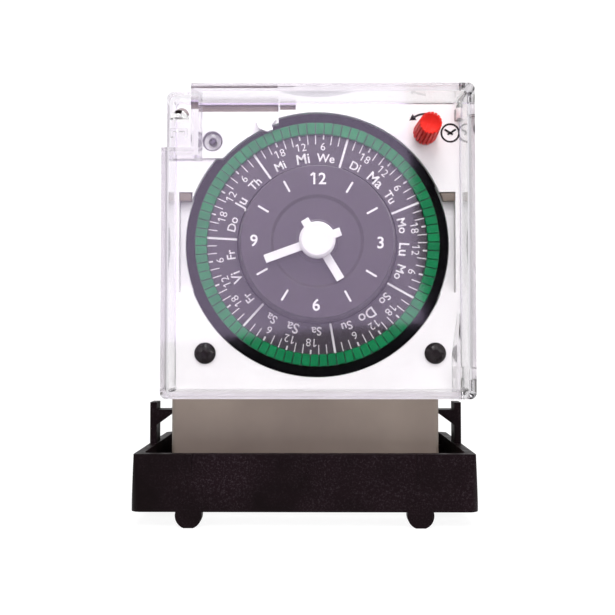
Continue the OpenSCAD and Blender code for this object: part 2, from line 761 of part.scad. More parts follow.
// Black block in the lower chamber with one open cell for each clamp
module terminal_block() color("#1f1e20") difference() {
    block([-cavity_half, chamber_front + housing_wall, housing_low + housing_wall], [cavity_half, block_back, block_top]);
    for (x = terminal_x) block([x - clamp_half - seat_gap, chamber_front, housing_low],
        [x + clamp_half + seat_gap, clamp_front + clamp_d, clamp_z0 + clamp_h]);
}

module terminal_clamps() color("#c2a14d") {
    for (x = terminal_x) difference() {
        block([x - clamp_half, clamp_front, clamp_z0], [x + clamp_half, clamp_front + clamp_d, clamp_z0 + clamp_h]);
        block([x - wire_half, wire_front, clamp_z0 - 1], [x + wire_half, wire_front + wire_d, clamp_z0 + clamp_h - 1]);
        post(x, screw_z, wire_front + 0.1, 10, thread_r + 0.3 + fixed_gap);
    }
}

module terminal_screws() color("silver") {
    for (x = terminal_x) difference() {
        union() {
            post(x, screw_z, wire_front - 0.1, wire_front - chamber_front - 1, thread_r + 0.3);
            post(x, screw_z, clamp_front, clamp_front - chamber_front - 0.5, access_r - 0.4);
        }
        block([x - access_r, chamber_front, screw_z - 0.4], [x + access_r, chamber_front + 1.3, screw_z + 0.4]);
    }
}

// Outside of the cover, or its inside when drawn in by a wall
module cover_body(wall, back) {
    difference() {
        slab(back, back - cover_front - wall) round_rect(cover_left + wall, cover_low + wall, cover_right - wall,
            cover_top - wall, max(0.4, corner_r - wall / 2));
        block([cover_left - 1, cover_front - 1, cover_top - corner_h - wall],
            [cover_left + corner_w + wall, cover_front + corner_step + wall, cover_top + 1]);
    }
}

// Clear box cover: stepped sealing corner with a slotted half dome, and hinge knuckles at two corners
module clear_cover() color([0.85, 0.83, 0.9, 0.35]) difference() {
    union() {
        difference() {
            cover_body(0, cover_rim);
            cover_body(cover_wall, cover_rim + 1);
            block([hinge_x - knuckle_r - run_gap, hinge_rim, cover_low - 1], [cover_right + 1, cover_rim + 1, cover_top + 1]);
        }
        for (k = knuckle_z) translate([hinge_x, hinge_y, k[0]]) cylinder(h = k[1] - k[0], r = knuckle_r);
        intersection() {
            translate([dome_x, corner_front + 0.2, dome_z]) sphere(r = dome_r);
            block([cover_left, cover_front, dome_z], [face_right, corner_front + 0.5, cover_top]);
        }
        seal_rib();
        gusset();
    }
    block([dome_x - dome_slot[0], cover_front, dome_z + dome_slot[1]],
        [dome_x + dome_slot[0], corner_front + cover_wall + 1, dome_z + dome_slot[2]]);
    for (z = ear_z) block([hinge_x - knuckle_r - 1, hinge_y - knuckle_r - run_gap, z - run_gap],
        [cover_right + 1, cover_rim + 1, z + hinge_ear + run_gap]);
    for (p = pin_z) translate([hinge_x, hinge_y, p[0] - run_gap])
        cylinder(h = p[1] - p[0] + 2 * run_gap, r = hinge_pin_r + shaft_gap);
}

// Thin gusset inside the cover near the lower hinge
module gusset() translate([face_right - 3.5, 0, 0]) rotate([90, 0, 90]) linear_extrude(height = 0.8)
    polygon([[cover_front + 0.5, cover_low + 1], [gusset_back, cover_low + 1], [gusset_back, gusset_low],
        [cover_front + cover_wall, gusset_top], [cover_front + 0.5, gusset_top]]);

// Low rib on the sealing corner, in the form of an open box
module seal_rib() {
    seal_t = 0.6;
    seal_half = 2;
    low = dome_z - 4.4;
    high = dome_z - 2.4;
    for (x = [dome_x - seal_half, dome_x + seal_half - seal_t])
        block([x, corner_front - 0.8, low], [x + seal_t, corner_front + 0.5, high]);
    block([dome_x - seal_half, corner_front - 0.8, high - seal_t], [dome_x + seal_half, corner_front + 0.5, high]);
}

// Week dial: rim gear behind a plain shroud, slotted drum, thin web and the hub that runs on the tube
module week_dial() color("#4a3f52") difference() {
    union() {
        slab(rim_back, rim_t) translate([dial_x, dial_z]) rotate(mesh_dir) gear(rim_teeth);
        post(dial_x, dial_z, rim_front + shroud_t, shroud_t, shroud_r);
        slab(rim_front, rim_front - slot_floor) translate([dial_x, dial_z]) circle(drum_r);
        slab(slot_floor, slot_floor - drum_face) difference() {
            translate([dial_x, dial_z]) circle(drum_r);
            for (i = [0 : tappet_count - 1]) on_dial(day_zero + (i + 0.5) * tappet_step)
                rect(-slot_w / 2, tappet_r0 - seat_gap, slot_w / 2, drum_r + 1);
        }
        post(dial_x, dial_z, dial_hub_back, dial_hub_back - rim_front, dial_hub_r);
    }
    post(dial_x, dial_z, rim_front, case_d, disc_r + run_gap);
    difference() {
        post(dial_x, dial_z, case_back, case_back - web_back, drum_r - 1);
        post(dial_x, dial_z, dial_hub_back, case_d, dial_hub_r);
    }
    post(dial_x, dial_z, case_back, 2 * case_d, tube_r + shaft_gap);
}

// One captive tappet of two hours: a stem in its slot under a wider head
module tappet(day, i) {
    turn = day_zero + (day * per_day + i + 0.5) * tappet_step;
    head_back = drum_face - seat_gap;
    slab(tappet_back, tappet_back - head_back + tappet_proud / 2) on_dial(turn)
        rect(-tappet_w / 2, tappet_r0, tappet_w / 2, tappet_r1);
    slab(head_back, head_back - tappet_face) on_dial(turn) polygon([
        [-head_half(tappet_r0), tappet_r0], [head_half(tappet_r0), tappet_r0],
        [head_half(tappet_r1), tappet_r1], [-head_half(tappet_r1), tappet_r1]]);
}

// Half the width of a tappet's head at one radius
function head_half(r) = PI * r / tappet_count - head_gap / 2;

// The tappets of one day, apart from the noon one
module day_tappets(day) {
    color("#1f9a63") for (i = [0 : per_day - 1]) if (i != noon) tappet(day, i);
}

module noon_tappet(day) {
    color("#1f9a63") tappet(day, noon);
}

module tappets_tuesday() { day_tappets(0); }
module tappets_monday() { day_tappets(1); }
module tappets_sunday() { day_tappets(2); }
module tappets_saturday() { day_tappets(3); }
module tappets_friday() { day_tappets(4); }
module tappets_thursday() { day_tappets(5); }
module tappets_wednesday() { day_tappets(6); }
module noon_tappet_tuesday() { noon_tappet(0); }
module noon_tappet_monday() { noon_tappet(1); }
module noon_tappet_sunday() { noon_tappet(2); }
module noon_tappet_saturday() { noon_tappet(3); }
module noon_tappet_friday() { noon_tappet(4); }
module noon_tappet_thursday() { noon_tappet(5); }
module noon_tappet_wednesday() { noon_tappet(6); }

// Red tapered knob with fine ribs and a dished top
module set_knob() color("#c8161d") translate([knob_x, knob_foot, knob_z]) rotate([90, 0, 0]) difference() {
    cylinder(h = knob_h, r1 = knob_r, r2 = knob_top_r);
    lean = atan((knob_r - knob_top_r) / knob_h);
    for (i = [0 : knob_ribs - 1]) rotate(i * 360 / knob_ribs) translate([knob_r, 0, -1])
        rotate([0, -lean, 0]) rotate(45) cube([knob_groove, knob_groove, 2 * knob_h + 4], center = true);
    translate([0, 0, knob_h + 3.6]) sphere(r = 4.2);
    translate([0, 0, -1]) cylinder(h = knob_h / 2 + 1, r = spindle_r + fixed_gap);
}

// Steel spindle with the pinion that turns the dial's rim
module knob_spindle() color("silver") {
    back = case_floor + 0.8;
    post(knob_x, knob_z, back, back - knob_foot + knob_h / 2 - 0.2, spindle_r);
    slab(rim_back + pinion_over, rim_back + pinion_over - pinion_front) translate([knob_x, knob_z])
        rotate(mesh_dir + 180 + 180 / pinion_teeth) gear(pinion_teeth);
}

// Outline of a hand with its round middle and short tail
module hand_outline(reach, clockwise) {
    on_dial(clockwise) {
        circle(hub_r);
        rect(-hand_w / 2, 0, hand_w / 2, reach);
        rect(-hand_w / 2, -tail_r + hand_w / 2, hand_w / 2, 0);
        translate([0, -tail_r + hand_w / 2]) circle(hand_w / 2);
    }
}

module hour_hand() color("white") difference() {
    slab(hour_back, hand_t) hand_outline(hour_reach, hour_angle);
    post(dial_x, dial_z, hour_back + 1, hand_t + 2, pipe_r + fixed_gap);
}

module hour_pipe() color("#b89a52") difference() {
    union() {
        post(dial_x, dial_z, tube_back, tube_back - hour_front, pipe_r);
        post(dial_x, dial_z, tube_front - run_gap, tube_front - run_gap - hour_back, pipe_r + 1.2);
    }
    post(dial_x, dial_z, tube_back + 1, tube_back - cover_front, arbor_r + shaft_gap);
}

module minute_hand() color("white") difference() {
    slab(minute_front + hand_t, hand_t) hand_outline(minute_reach, minute_angle);
    post(dial_x, dial_z, minute_front + hand_t + 1, hand_t + 2, arbor_r + fixed_gap);
}

module minute_arbor() color("silver") {
    post(dial_x, dial_z, arbor_back - seat_gap, arbor_back - seat_gap - minute_front + 0.5, arbor_r);
}

// Low bevelled cap over the hands' middle
module hand_cap() color("white") difference() {
    union() {
        post(dial_x, dial_z, minute_front, cap_t - cap_edge, hub_r);
        taper(dial_x, dial_z, cap_front + cap_edge, cap_edge, hub_r, hub_r - cap_edge);
    }
    post(dial_x, dial_z, minute_front + 1, 1.6, arbor_r + fixed_gap);
}

mounting_frame();
rear_housing();
back_cover();
back_screws();
front_case();
case_screws();
face_plate();
plate_screws();
status_lens();
hinge_pins();
centre_tube();
clock_disc();
movement_case();
movement_screws();
drive_motor();
circuit_board();
backup_battery();
dropper_capacitor();
microswitch();
lever_pin();
switch_lever();
terminal_block();
terminal_clamps();
terminal_screws();
clear_cover();
week_dial();
tappets_tuesday();
tappets_monday();
tappets_sunday();
tappets_saturday();
tappets_friday();
tappets_thursday();
tappets_wednesday();
noon_tappet_tuesday();
noon_tappet_monday();
noon_tappet_sunday();
noon_tappet_saturday();
noon_tappet_friday();
noon_tappet_thursday();
noon_tappet_wednesday();
set_knob();
knob_spindle();
hour_hand();
hour_pipe();
minute_hand();
minute_arbor();
hand_cap();
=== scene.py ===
"""Dresses the solids of a weekly time switch: finishes, printing, small pieces, studio and camera.

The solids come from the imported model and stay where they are. This script softens their
edges, gives each one the finish of its real material and adds what the solids leave out.
"""

import json
import logging
import math
from collections.abc import Callable, Iterator
from contextlib import contextmanager
from dataclasses import dataclass, field
from enum import Enum

import bpy
from mathutils import Matrix, Vector


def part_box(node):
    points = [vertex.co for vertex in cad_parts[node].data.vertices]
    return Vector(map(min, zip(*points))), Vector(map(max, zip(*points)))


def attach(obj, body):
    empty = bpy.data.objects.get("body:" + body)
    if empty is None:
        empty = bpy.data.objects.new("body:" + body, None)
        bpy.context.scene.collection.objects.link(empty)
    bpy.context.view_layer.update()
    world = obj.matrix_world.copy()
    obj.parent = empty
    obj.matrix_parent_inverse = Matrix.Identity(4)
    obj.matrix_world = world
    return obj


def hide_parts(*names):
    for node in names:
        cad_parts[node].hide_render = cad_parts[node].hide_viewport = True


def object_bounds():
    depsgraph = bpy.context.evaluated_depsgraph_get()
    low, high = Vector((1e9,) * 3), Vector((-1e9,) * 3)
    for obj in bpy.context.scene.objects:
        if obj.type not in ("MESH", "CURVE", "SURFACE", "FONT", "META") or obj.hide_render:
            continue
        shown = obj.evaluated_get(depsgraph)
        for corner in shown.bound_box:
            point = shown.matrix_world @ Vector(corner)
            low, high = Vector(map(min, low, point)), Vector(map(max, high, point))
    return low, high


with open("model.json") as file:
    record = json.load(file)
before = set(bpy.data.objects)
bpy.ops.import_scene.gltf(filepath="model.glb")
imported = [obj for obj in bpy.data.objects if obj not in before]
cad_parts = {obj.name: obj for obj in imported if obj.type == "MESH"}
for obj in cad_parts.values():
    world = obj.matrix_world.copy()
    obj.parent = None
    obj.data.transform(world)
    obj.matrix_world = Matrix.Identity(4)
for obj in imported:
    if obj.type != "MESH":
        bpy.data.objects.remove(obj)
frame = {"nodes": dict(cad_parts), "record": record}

CAD_LOW, CAD_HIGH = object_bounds()
MM = 0.001
WHITE = "#ffffff"
LOG = logging.getLogger("time_switch")
Settings = dict[str | int, object]
Triple = tuple[float, float, float]
Piece = bpy.types.Object
Tree = bpy.types.NodeTree
Socket = bpy.types.NodeSocket


def linear(hex_colour: str, alpha: float = 1.0) -> tuple[float, float, float, float]:
    """Turns an sRGB hex colour into linear light.

    Args:
        hex_colour: Colour such as "#1b1719".
        alpha: Opacity that goes with it.

    Returns:
        Red, green, blue and alpha.
    """
    parts = [int(hex_colour[i:i + 2], 16) / 255 for i in (1, 3, 5)]
    light = [p / 12.92 if p <= 0.04045 else ((p + 0.055) / 1.055) ** 2.4 for p in parts]
    return light[0], light[1], light[2], alpha


def moved(x: float, y: float, z: float) -> Matrix:
    """Gives the move by x, y and z millimetres."""
    return Matrix.Translation((x * MM, y * MM, z * MM))


def turned(degrees: float, axis: str) -> Matrix:
    """Gives the turn by an angle about one axis through the origin."""
    return Matrix.Rotation(math.radians(degrees), 4, axis)


def add_node(
    tree: Tree, kind: str, sockets: Settings | None = None, **settings: object
) -> bpy.types.Node:
    """Adds one node with its settings, values and links.

    Args:
        tree: Node tree that gets the node.
        kind: Blender's name of the node's kind.
        sockets: Value, or socket to link from, for each input by name or number.
        settings: Properties of the node itself.

    Returns:
        The new node.
    """
    node = tree.nodes.new(kind)
    for name, value in settings.items():
        setattr(node, name, value)
    for name, value in (sockets or {}).items():
        if isinstance(value, Socket):
            tree.links.new(value, node.inputs[name])
        else:
            node.inputs[name].default_value = value
    return node


def per_mm(size_mm: float) -> float:
    """Gives the texture scale at which a pattern repeats about every size_mm."""
    return 1 / (size_mm * MM)


def empty_material(name: str) -> tuple[bpy.types.Material, Tree]:
    """Makes a material with no nodes.

    Args:
        name: Name of the real material.

    Returns:
        The material and its node tree.
    """
    material = bpy.data.materials.new(name)
    material.use_nodes = True
    material.node_tree.nodes.clear()
    return material, material.node_tree


@dataclass(frozen=True)
class Plastic:
    """Moulded plastic: a broad drift of tone, uneven gloss and the tool's fine texture."""

    name: str
    colour: str
    shade: str
    roughness: float
    gloss_spread: float = 0.08
    gloss_span: tuple[float, float] = (0.3, 0.7)
    drift_mm: float = 14.0
    drift_span: tuple[float, float] = (0.32, 0.68)
    grain_mm: float = 0.5
    grain_depth_mm: float = 0.01
    speck: str = ""
    speck_mm: float = 0.9
    speck_share: float = 0.3
    speck_span: tuple[float, float] = (0.5, 0.78)
    specular: float = 0.5
    ior: float = 1.5
    subsurface: float = 0.0
    subsurface_mm: float = 0.6
    coat: float = 0.0
    coat_roughness: float = 0.12

    def base(self, tree: Tree, place: Socket) -> Socket:
        """Builds the colour with its drift and its specks.

        Args:
            tree: Node tree of the material.
            place: Position on the piece.

        Returns:
            The colour.
        """
        drift = add_node(tree, "ShaderNodeTexNoise", {
            "Vector": place, "Scale": per_mm(self.drift_mm), "Detail": 4.0})
        tone = add_node(tree, "ShaderNodeMapRange", {
            "Value": drift.outputs["Fac"], "From Min": self.drift_span[0], "From Max": self.drift_span[1]})
        base = add_node(tree, "ShaderNodeMix", {
            0: tone.outputs[0], 6: linear(self.shade), 7: linear(self.colour)}, data_type="RGBA").outputs[2]
        if self.speck:
            dust = add_node(tree, "ShaderNodeTexNoise", {
                "Vector": place, "Scale": per_mm(self.speck_mm), "Detail": 6.0, "Roughness": 0.7})
            spots = add_node(tree, "ShaderNodeMapRange", {
                "Value": dust.outputs["Fac"], "From Min": self.speck_span[0], "From Max": self.speck_span[1],
                "To Max": self.speck_share})
            patch = add_node(tree, "ShaderNodeMath", {0: spots.outputs[0], 1: tone.outputs[0]}, operation="MULTIPLY")
            base = add_node(tree, "ShaderNodeMix", {
                0: patch.outputs[0], 6: base, 7: linear(self.speck)}, data_type="RGBA").outputs[2]
        return base

    def mirror(self, tree: Tree, place: Socket) -> float | Socket:
        """Gives how strongly the surface mirrors.

        Args:
            tree: Node tree of the material.
            place: Position on the piece.

        Returns:
            The level, or the socket that carries it.
        """
        return self.specular

    def make(self) -> bpy.types.Material:
        """Builds the material.

        Returns:
            The finished material.
        """
        material, tree = empty_material(self.name)
        place = add_node(tree, "ShaderNodeTexCoord").outputs["Object"]
        wear = add_node(tree, "ShaderNodeTexNoise", {
            "Vector": place, "Scale": per_mm(self.drift_mm / 4), "Detail": 5.0})
        gloss = add_node(tree, "ShaderNodeMapRange", {
            "Value": wear.outputs["Fac"], "From Min": self.gloss_span[0], "From Max": self.gloss_span[1],
            "To Min": self.roughness - self.gloss_spread, "To Max": self.roughness + self.gloss_spread})
        grain = add_node(tree, "ShaderNodeTexNoise", {
            "Vector": place, "Scale": per_mm(self.grain_mm), "Detail": 3.0})
        relief = add_node(tree, "ShaderNodeBump", {
            "Height": grain.outputs["Fac"], "Strength": 1.0, "Distance": self.grain_depth_mm * MM})
        shader = add_node(tree, "ShaderNodeBsdfPrincipled", {
            "Base Color": self.base(tree, place), "Roughness": gloss.outputs[0], "Normal": relief.outputs[0],
            "IOR": self.ior, "Specular IOR Level": self.mirror(tree, place), "Subsurface Weight": self.subsurface,
            "Subsurface Scale": self.subsurface_mm * MM, "Coat Weight": self.coat,
            "Coat Roughness": self.coat_roughness})
        add_node(tree, "ShaderNodeOutputMaterial", {"Surface": shader.outputs[0]})
        return material


@dataclass(frozen=True)
class RimmedPlastic(Plastic):
    """Plastic of a turning piece: silky in the middle, and outside one radius blacker with painted shade and duller.
    """

    axis_mm: tuple[float, float] = (0.0, 0.0)
    rim_mm: float = 30.0
    rim_colour: str = "#000000"
    rim_specular: float = 0.2

    def outside(self, tree: Tree, place: Socket) -> Socket:
        """Tells the rim from the middle.

        Args:
            tree: Node tree of the material.
            place: Position on the piece.

        Returns:
            1 outside the radius and 0 inside it.
        """
        middle = (self.axis_mm[0] * MM, 0.0, self.axis_mm[1] * MM)
        shift = add_node(tree, "ShaderNodeVectorMath", {0: place, 1: middle}, operation="SUBTRACT")
        flat = add_node(tree, "ShaderNodeVectorMath", {0: shift.outputs[0], 1: (1.0, 0.0, 1.0)}, operation="MULTIPLY")
        away = add_node(tree, "ShaderNodeVectorMath", {0: flat.outputs[0]}, operation="LENGTH")
        return add_node(tree, "ShaderNodeMath", {0: away.outputs["Value"], 1: self.rim_mm * MM},
                        operation="GREATER_THAN").outputs[0]

    def base(self, tree: Tree, place: Socket) -> Socket:
        """Builds the colour of the middle, and the painted shade of the rim."""
        middle = super().base(tree, place)
        # Outside the radius the colour is painted shade, for the rim that the plate shades.
        return add_node(tree, "ShaderNodeMix", {
            0: self.outside(tree, place), 6: middle, 7: linear(self.rim_colour)}, data_type="RGBA").outputs[2]

    def mirror(self, tree: Tree, place: Socket) -> float | Socket:
        """Gives how strongly the middle and the rim mirror."""
        return add_node(tree, "ShaderNodeMapRange", {
            "Value": self.outside(tree, place), "To Min": self.specular, "To Max": self.rim_specular}).outputs[0]


@dataclass(frozen=True)
class ClearPlastic:
    """Clear moulding: refracts, lets the lamps through and carries faint handling marks."""

    name: str
    tint: str
    roughness: float
    ior: float = 1.58
    flow_mm: float = 9.0
    flow_depth_mm: float = 0.003
    mark_mm: float = 1.2
    mark_span: tuple[float, float] = (0.55, 0.8)
    mark_haze: float = 0.06
    depth_tint: str = "#bdb7c0"
    depth_density: float = 45.0

    def make(self) -> bpy.types.Material:
        """Builds the material.

        Returns:
            The finished material.
        """
        material, tree = empty_material(self.name)
        place = add_node(tree, "ShaderNodeTexCoord").outputs["Object"]
        flow = add_node(tree, "ShaderNodeTexNoise", {
            "Vector": place, "Scale": per_mm(self.flow_mm), "Detail": 2.0})
        relief = add_node(tree, "ShaderNodeBump", {
            "Height": flow.outputs["Fac"], "Strength": 1.0, "Distance": self.flow_depth_mm * MM})
        marks = add_node(tree, "ShaderNodeTexNoise", {
            "Vector": place, "Scale": per_mm(self.mark_mm), "Detail": 6.0, "Roughness": 0.75})
        dull = add_node(tree, "ShaderNodeMapRange", {
            "Value": marks.outputs["Fac"], "From Min": self.mark_span[0], "From Max": self.mark_span[1],
            "To Min": self.roughness, "To Max": self.roughness + self.mark_haze})
        shader = add_node(tree, "ShaderNodeBsdfPrincipled", {
            "Base Color": linear(self.tint), "Roughness": dull.outputs[0], "Normal": relief.outputs[0],
            "IOR": self.ior, "Transmission Weight": 1.0})
        open_air = add_node(tree, "ShaderNodeBsdfTransparent", {"Color": linear(self.tint)})
        ray = add_node(tree, "ShaderNodeLightPath")
        both = add_node(tree, "ShaderNodeMixShader", {
            0: ray.outputs["Is Shadow Ray"], 1: shader.outputs[0], 2: open_air.outputs[0]})
        depth = add_node(tree, "ShaderNodeVolumeAbsorption", {
            "Color": linear(self.depth_tint), "Density": self.depth_density})
        add_node(tree, "ShaderNodeOutputMaterial", {"Surface": both.outputs[0], "Volume": depth.outputs[0]})
        return material


@dataclass(frozen=True)
class Metal:
    """Turned or drawn metal: fine lines along one axis and a slight bloom of tarnish."""

    name: str
    colour: str
    tarnish: str
    roughness: float
    duller: float = 0.1
    brighter: float = 0.08
    line_mm: float = 0.25
    line_stretch: float = 0.15
    line_depth_mm: float = 0.004
    bloom_mm: float = 3.0

    def make(self) -> bpy.types.Material:
        """Builds the material.

        Returns:
            The finished material.
        """
        material, tree = empty_material(self.name)
        place = add_node(tree, "ShaderNodeTexCoord").outputs["Object"]
        bloom = add_node(tree, "ShaderNodeTexNoise", {
            "Vector": place, "Scale": per_mm(self.bloom_mm), "Detail": 5.0})
        base = add_node(tree, "ShaderNodeMix", {
            0: bloom.outputs["Fac"], 6: linear(self.colour), 7: linear(self.tarnish)}, data_type="RGBA")
        along = add_node(tree, "ShaderNodeMapping", {"Vector": place, "Scale": (1.0, self.line_stretch, 1.0)})
        lines = add_node(tree, "ShaderNodeTexNoise", {
            "Vector": along.outputs[0], "Scale": per_mm(self.line_mm), "Detail": 2.0})
        gloss = add_node(tree, "ShaderNodeMapRange", {
            "Value": lines.outputs["Fac"], "To Min": self.roughness - self.brighter,
            "To Max": self.roughness + self.duller})
        relief = add_node(tree, "ShaderNodeBump", {
            "Height": lines.outputs["Fac"], "Distance": self.line_depth_mm * MM})
        shader = add_node(tree, "ShaderNodeBsdfPrincipled", {
            "Base Color": base.outputs[2], "Metallic": 1.0, "Roughness": gloss.outputs[0],
            "Normal": relief.outputs[0]})
        add_node(tree, "ShaderNodeOutputMaterial", {"Surface": shader.outputs[0]})
        return material


class Finish(Enum):
    """Finishes of the object, each under the record's name of its slot."""

    # Spark eroded black ABS: nearly matt, with fine grey specks where the grain catches light
    BLACK_ABS = Plastic("Black ABS, spark eroded mould", "#190e12", "#0f0809", 0.45, grain_depth_mm=0.02,
                        speck="#6a6066", speck_mm=0.45, specular=0.05)
    # Smooth warm grey ABS: satin, with a soft drift of tone
    GREY_ABS = Plastic("Warm grey ABS, smooth mould", "#82766b", "#70645b", 0.4, drift_mm=26.0, grain_mm=0.7,
                       grain_depth_mm=0.006)
    # White ABS: satin and slightly rosy
    WHITE_ABS = Plastic("White ABS, satin mould", "#f3f1f1", "#edeaeb", 0.45, drift_mm=18.0, grain_mm=0.5,
                        grain_depth_mm=0.005)
    # Polished polycarbonate: clear, with slow flow waves and faint rub marks
    CLEAR_PC = ClearPlastic("Clear polycarbonate, polished mould", "#fdfdfd", 0.05)
    # Dark acetal with a purple cast: silky from use, and at the rim that the plate shades, blacker with painted shade
    DIAL_BLACK = RimmedPlastic("Dark acetal, silky mould", "#281a25", "#221520", 0.4, drift_mm=9.0, grain_mm=0.35,
                               grain_depth_mm=0.004, specular=1.0, axis_mm=(3.0, 67.0), rim_mm=30.35,
                               rim_colour="#050305", rim_specular=0.06)
    # Green acetal: waxy and evenly coloured
    GREEN_POM = Plastic("Green acetal, plain mould", "#067f4a", "#056c40", 0.38, drift_mm=5.0, grain_mm=0.4,
                        grain_depth_mm=0.004, specular=0.15, subsurface=0.05)
    # Red ABS: bright, with little gloss
    RED_ABS = Plastic("Red ABS, glossy mould", "#ee352b", "#dd2720", 0.38, drift_mm=3.0, grain_mm=0.3,
                      grain_depth_mm=0.004, specular=0.04)
    # White painted hands and white ink: flat and even
    HAND_WHITE = Plastic("White enamel, flat", "#eeebec", "#e6e3e4", 0.5, drift_mm=4.0, grain_mm=0.3,
                         grain_depth_mm=0.003)
    # Blackened steel of the screws, and black ink: oiled, with a slight drift of tone
    BLACK_SCREW = Plastic("Black oxide steel, oiled", "#1a1014", "#10080b", 0.32, drift_mm=1.5, grain_mm=0.3,
                          grain_depth_mm=0.006, specular=0.28)
    # Bright plated steel
    STEEL = Metal("Zinc plated steel, bright", "#c9c9c6", "#a9a7a3", 0.3)
    # Brass, turned
    BRASS = Metal("Brass, turned", "#c8a75a", "#9d7c3c", 0.3)
    # Dark nylon of the clockwork and terminals: matt
    DARK_PLASTIC = Plastic("Dark nylon, matt mould", "#2b2a2c", "#222123", 0.55, grain_mm=0.5, grain_depth_mm=0.012)
    # Ivory nylon of the lever
    LEVER_PLASTIC = Plastic("Ivory nylon, matt mould", "#cbc5b6", "#b9b3a4", 0.5, drift_mm=5.0, grain_depth_mm=0.006)
    # Green solder mask over glass laminate: glossy
    BOARD = Plastic("Green solder mask on glass laminate", "#2f6b45", "#275a3a", 0.3, drift_mm=6.0, grain_mm=0.4,
                    grain_depth_mm=0.01, coat=0.3)
    # Yellow dipped film capacitor: glossy and lumpy
    FILM = Plastic("Ochre epoxy, dipped", "#b5892d", "#a37822", 0.3, drift_mm=4.0, grain_mm=1.2, grain_depth_mm=0.03)

    @property
    def slot(self) -> str:
        """Gives the record's slot name."""
        return self.name.lower()


class Palette:
    """Makes each finish's material once and hands it out."""

    def __init__(self) -> None:
        """Starts with no material made."""
        self.made: dict[Finish, bpy.types.Material] = {}

    def dress(self, piece: Piece, finish: Finish) -> None:
        """Gives a piece one finish all over.

        Args:
            piece: Piece to dress.
            finish: Finish that it gets.
        """
        if finish not in self.made:
            self.made[finish] = finish.value.make()
        piece.data.materials.clear()
        piece.data.materials.append(self.made[finish])

    def hand_over(self, piece: Piece, finish: Finish, body: str, stands_for: str = "") -> None:
        """Dresses a finished piece and gives it to the body that it moves with.

        Args:
            piece: Piece to hand over.
            finish: Finish that it gets.
            body: Body that it rides on.
            stands_for: Solid whose place it takes, if there is one.
        """
        self.dress(piece, finish)
        if stands_for:
            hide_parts(stands_for)
        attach(piece, body)
        LOG.info("made %s", piece.name)


class Part(Enum):
    """Parts of a mesh that can be picked, each under Blender's name of its select mode."""

    VERT = "vertices"
    FACE = "polygons"


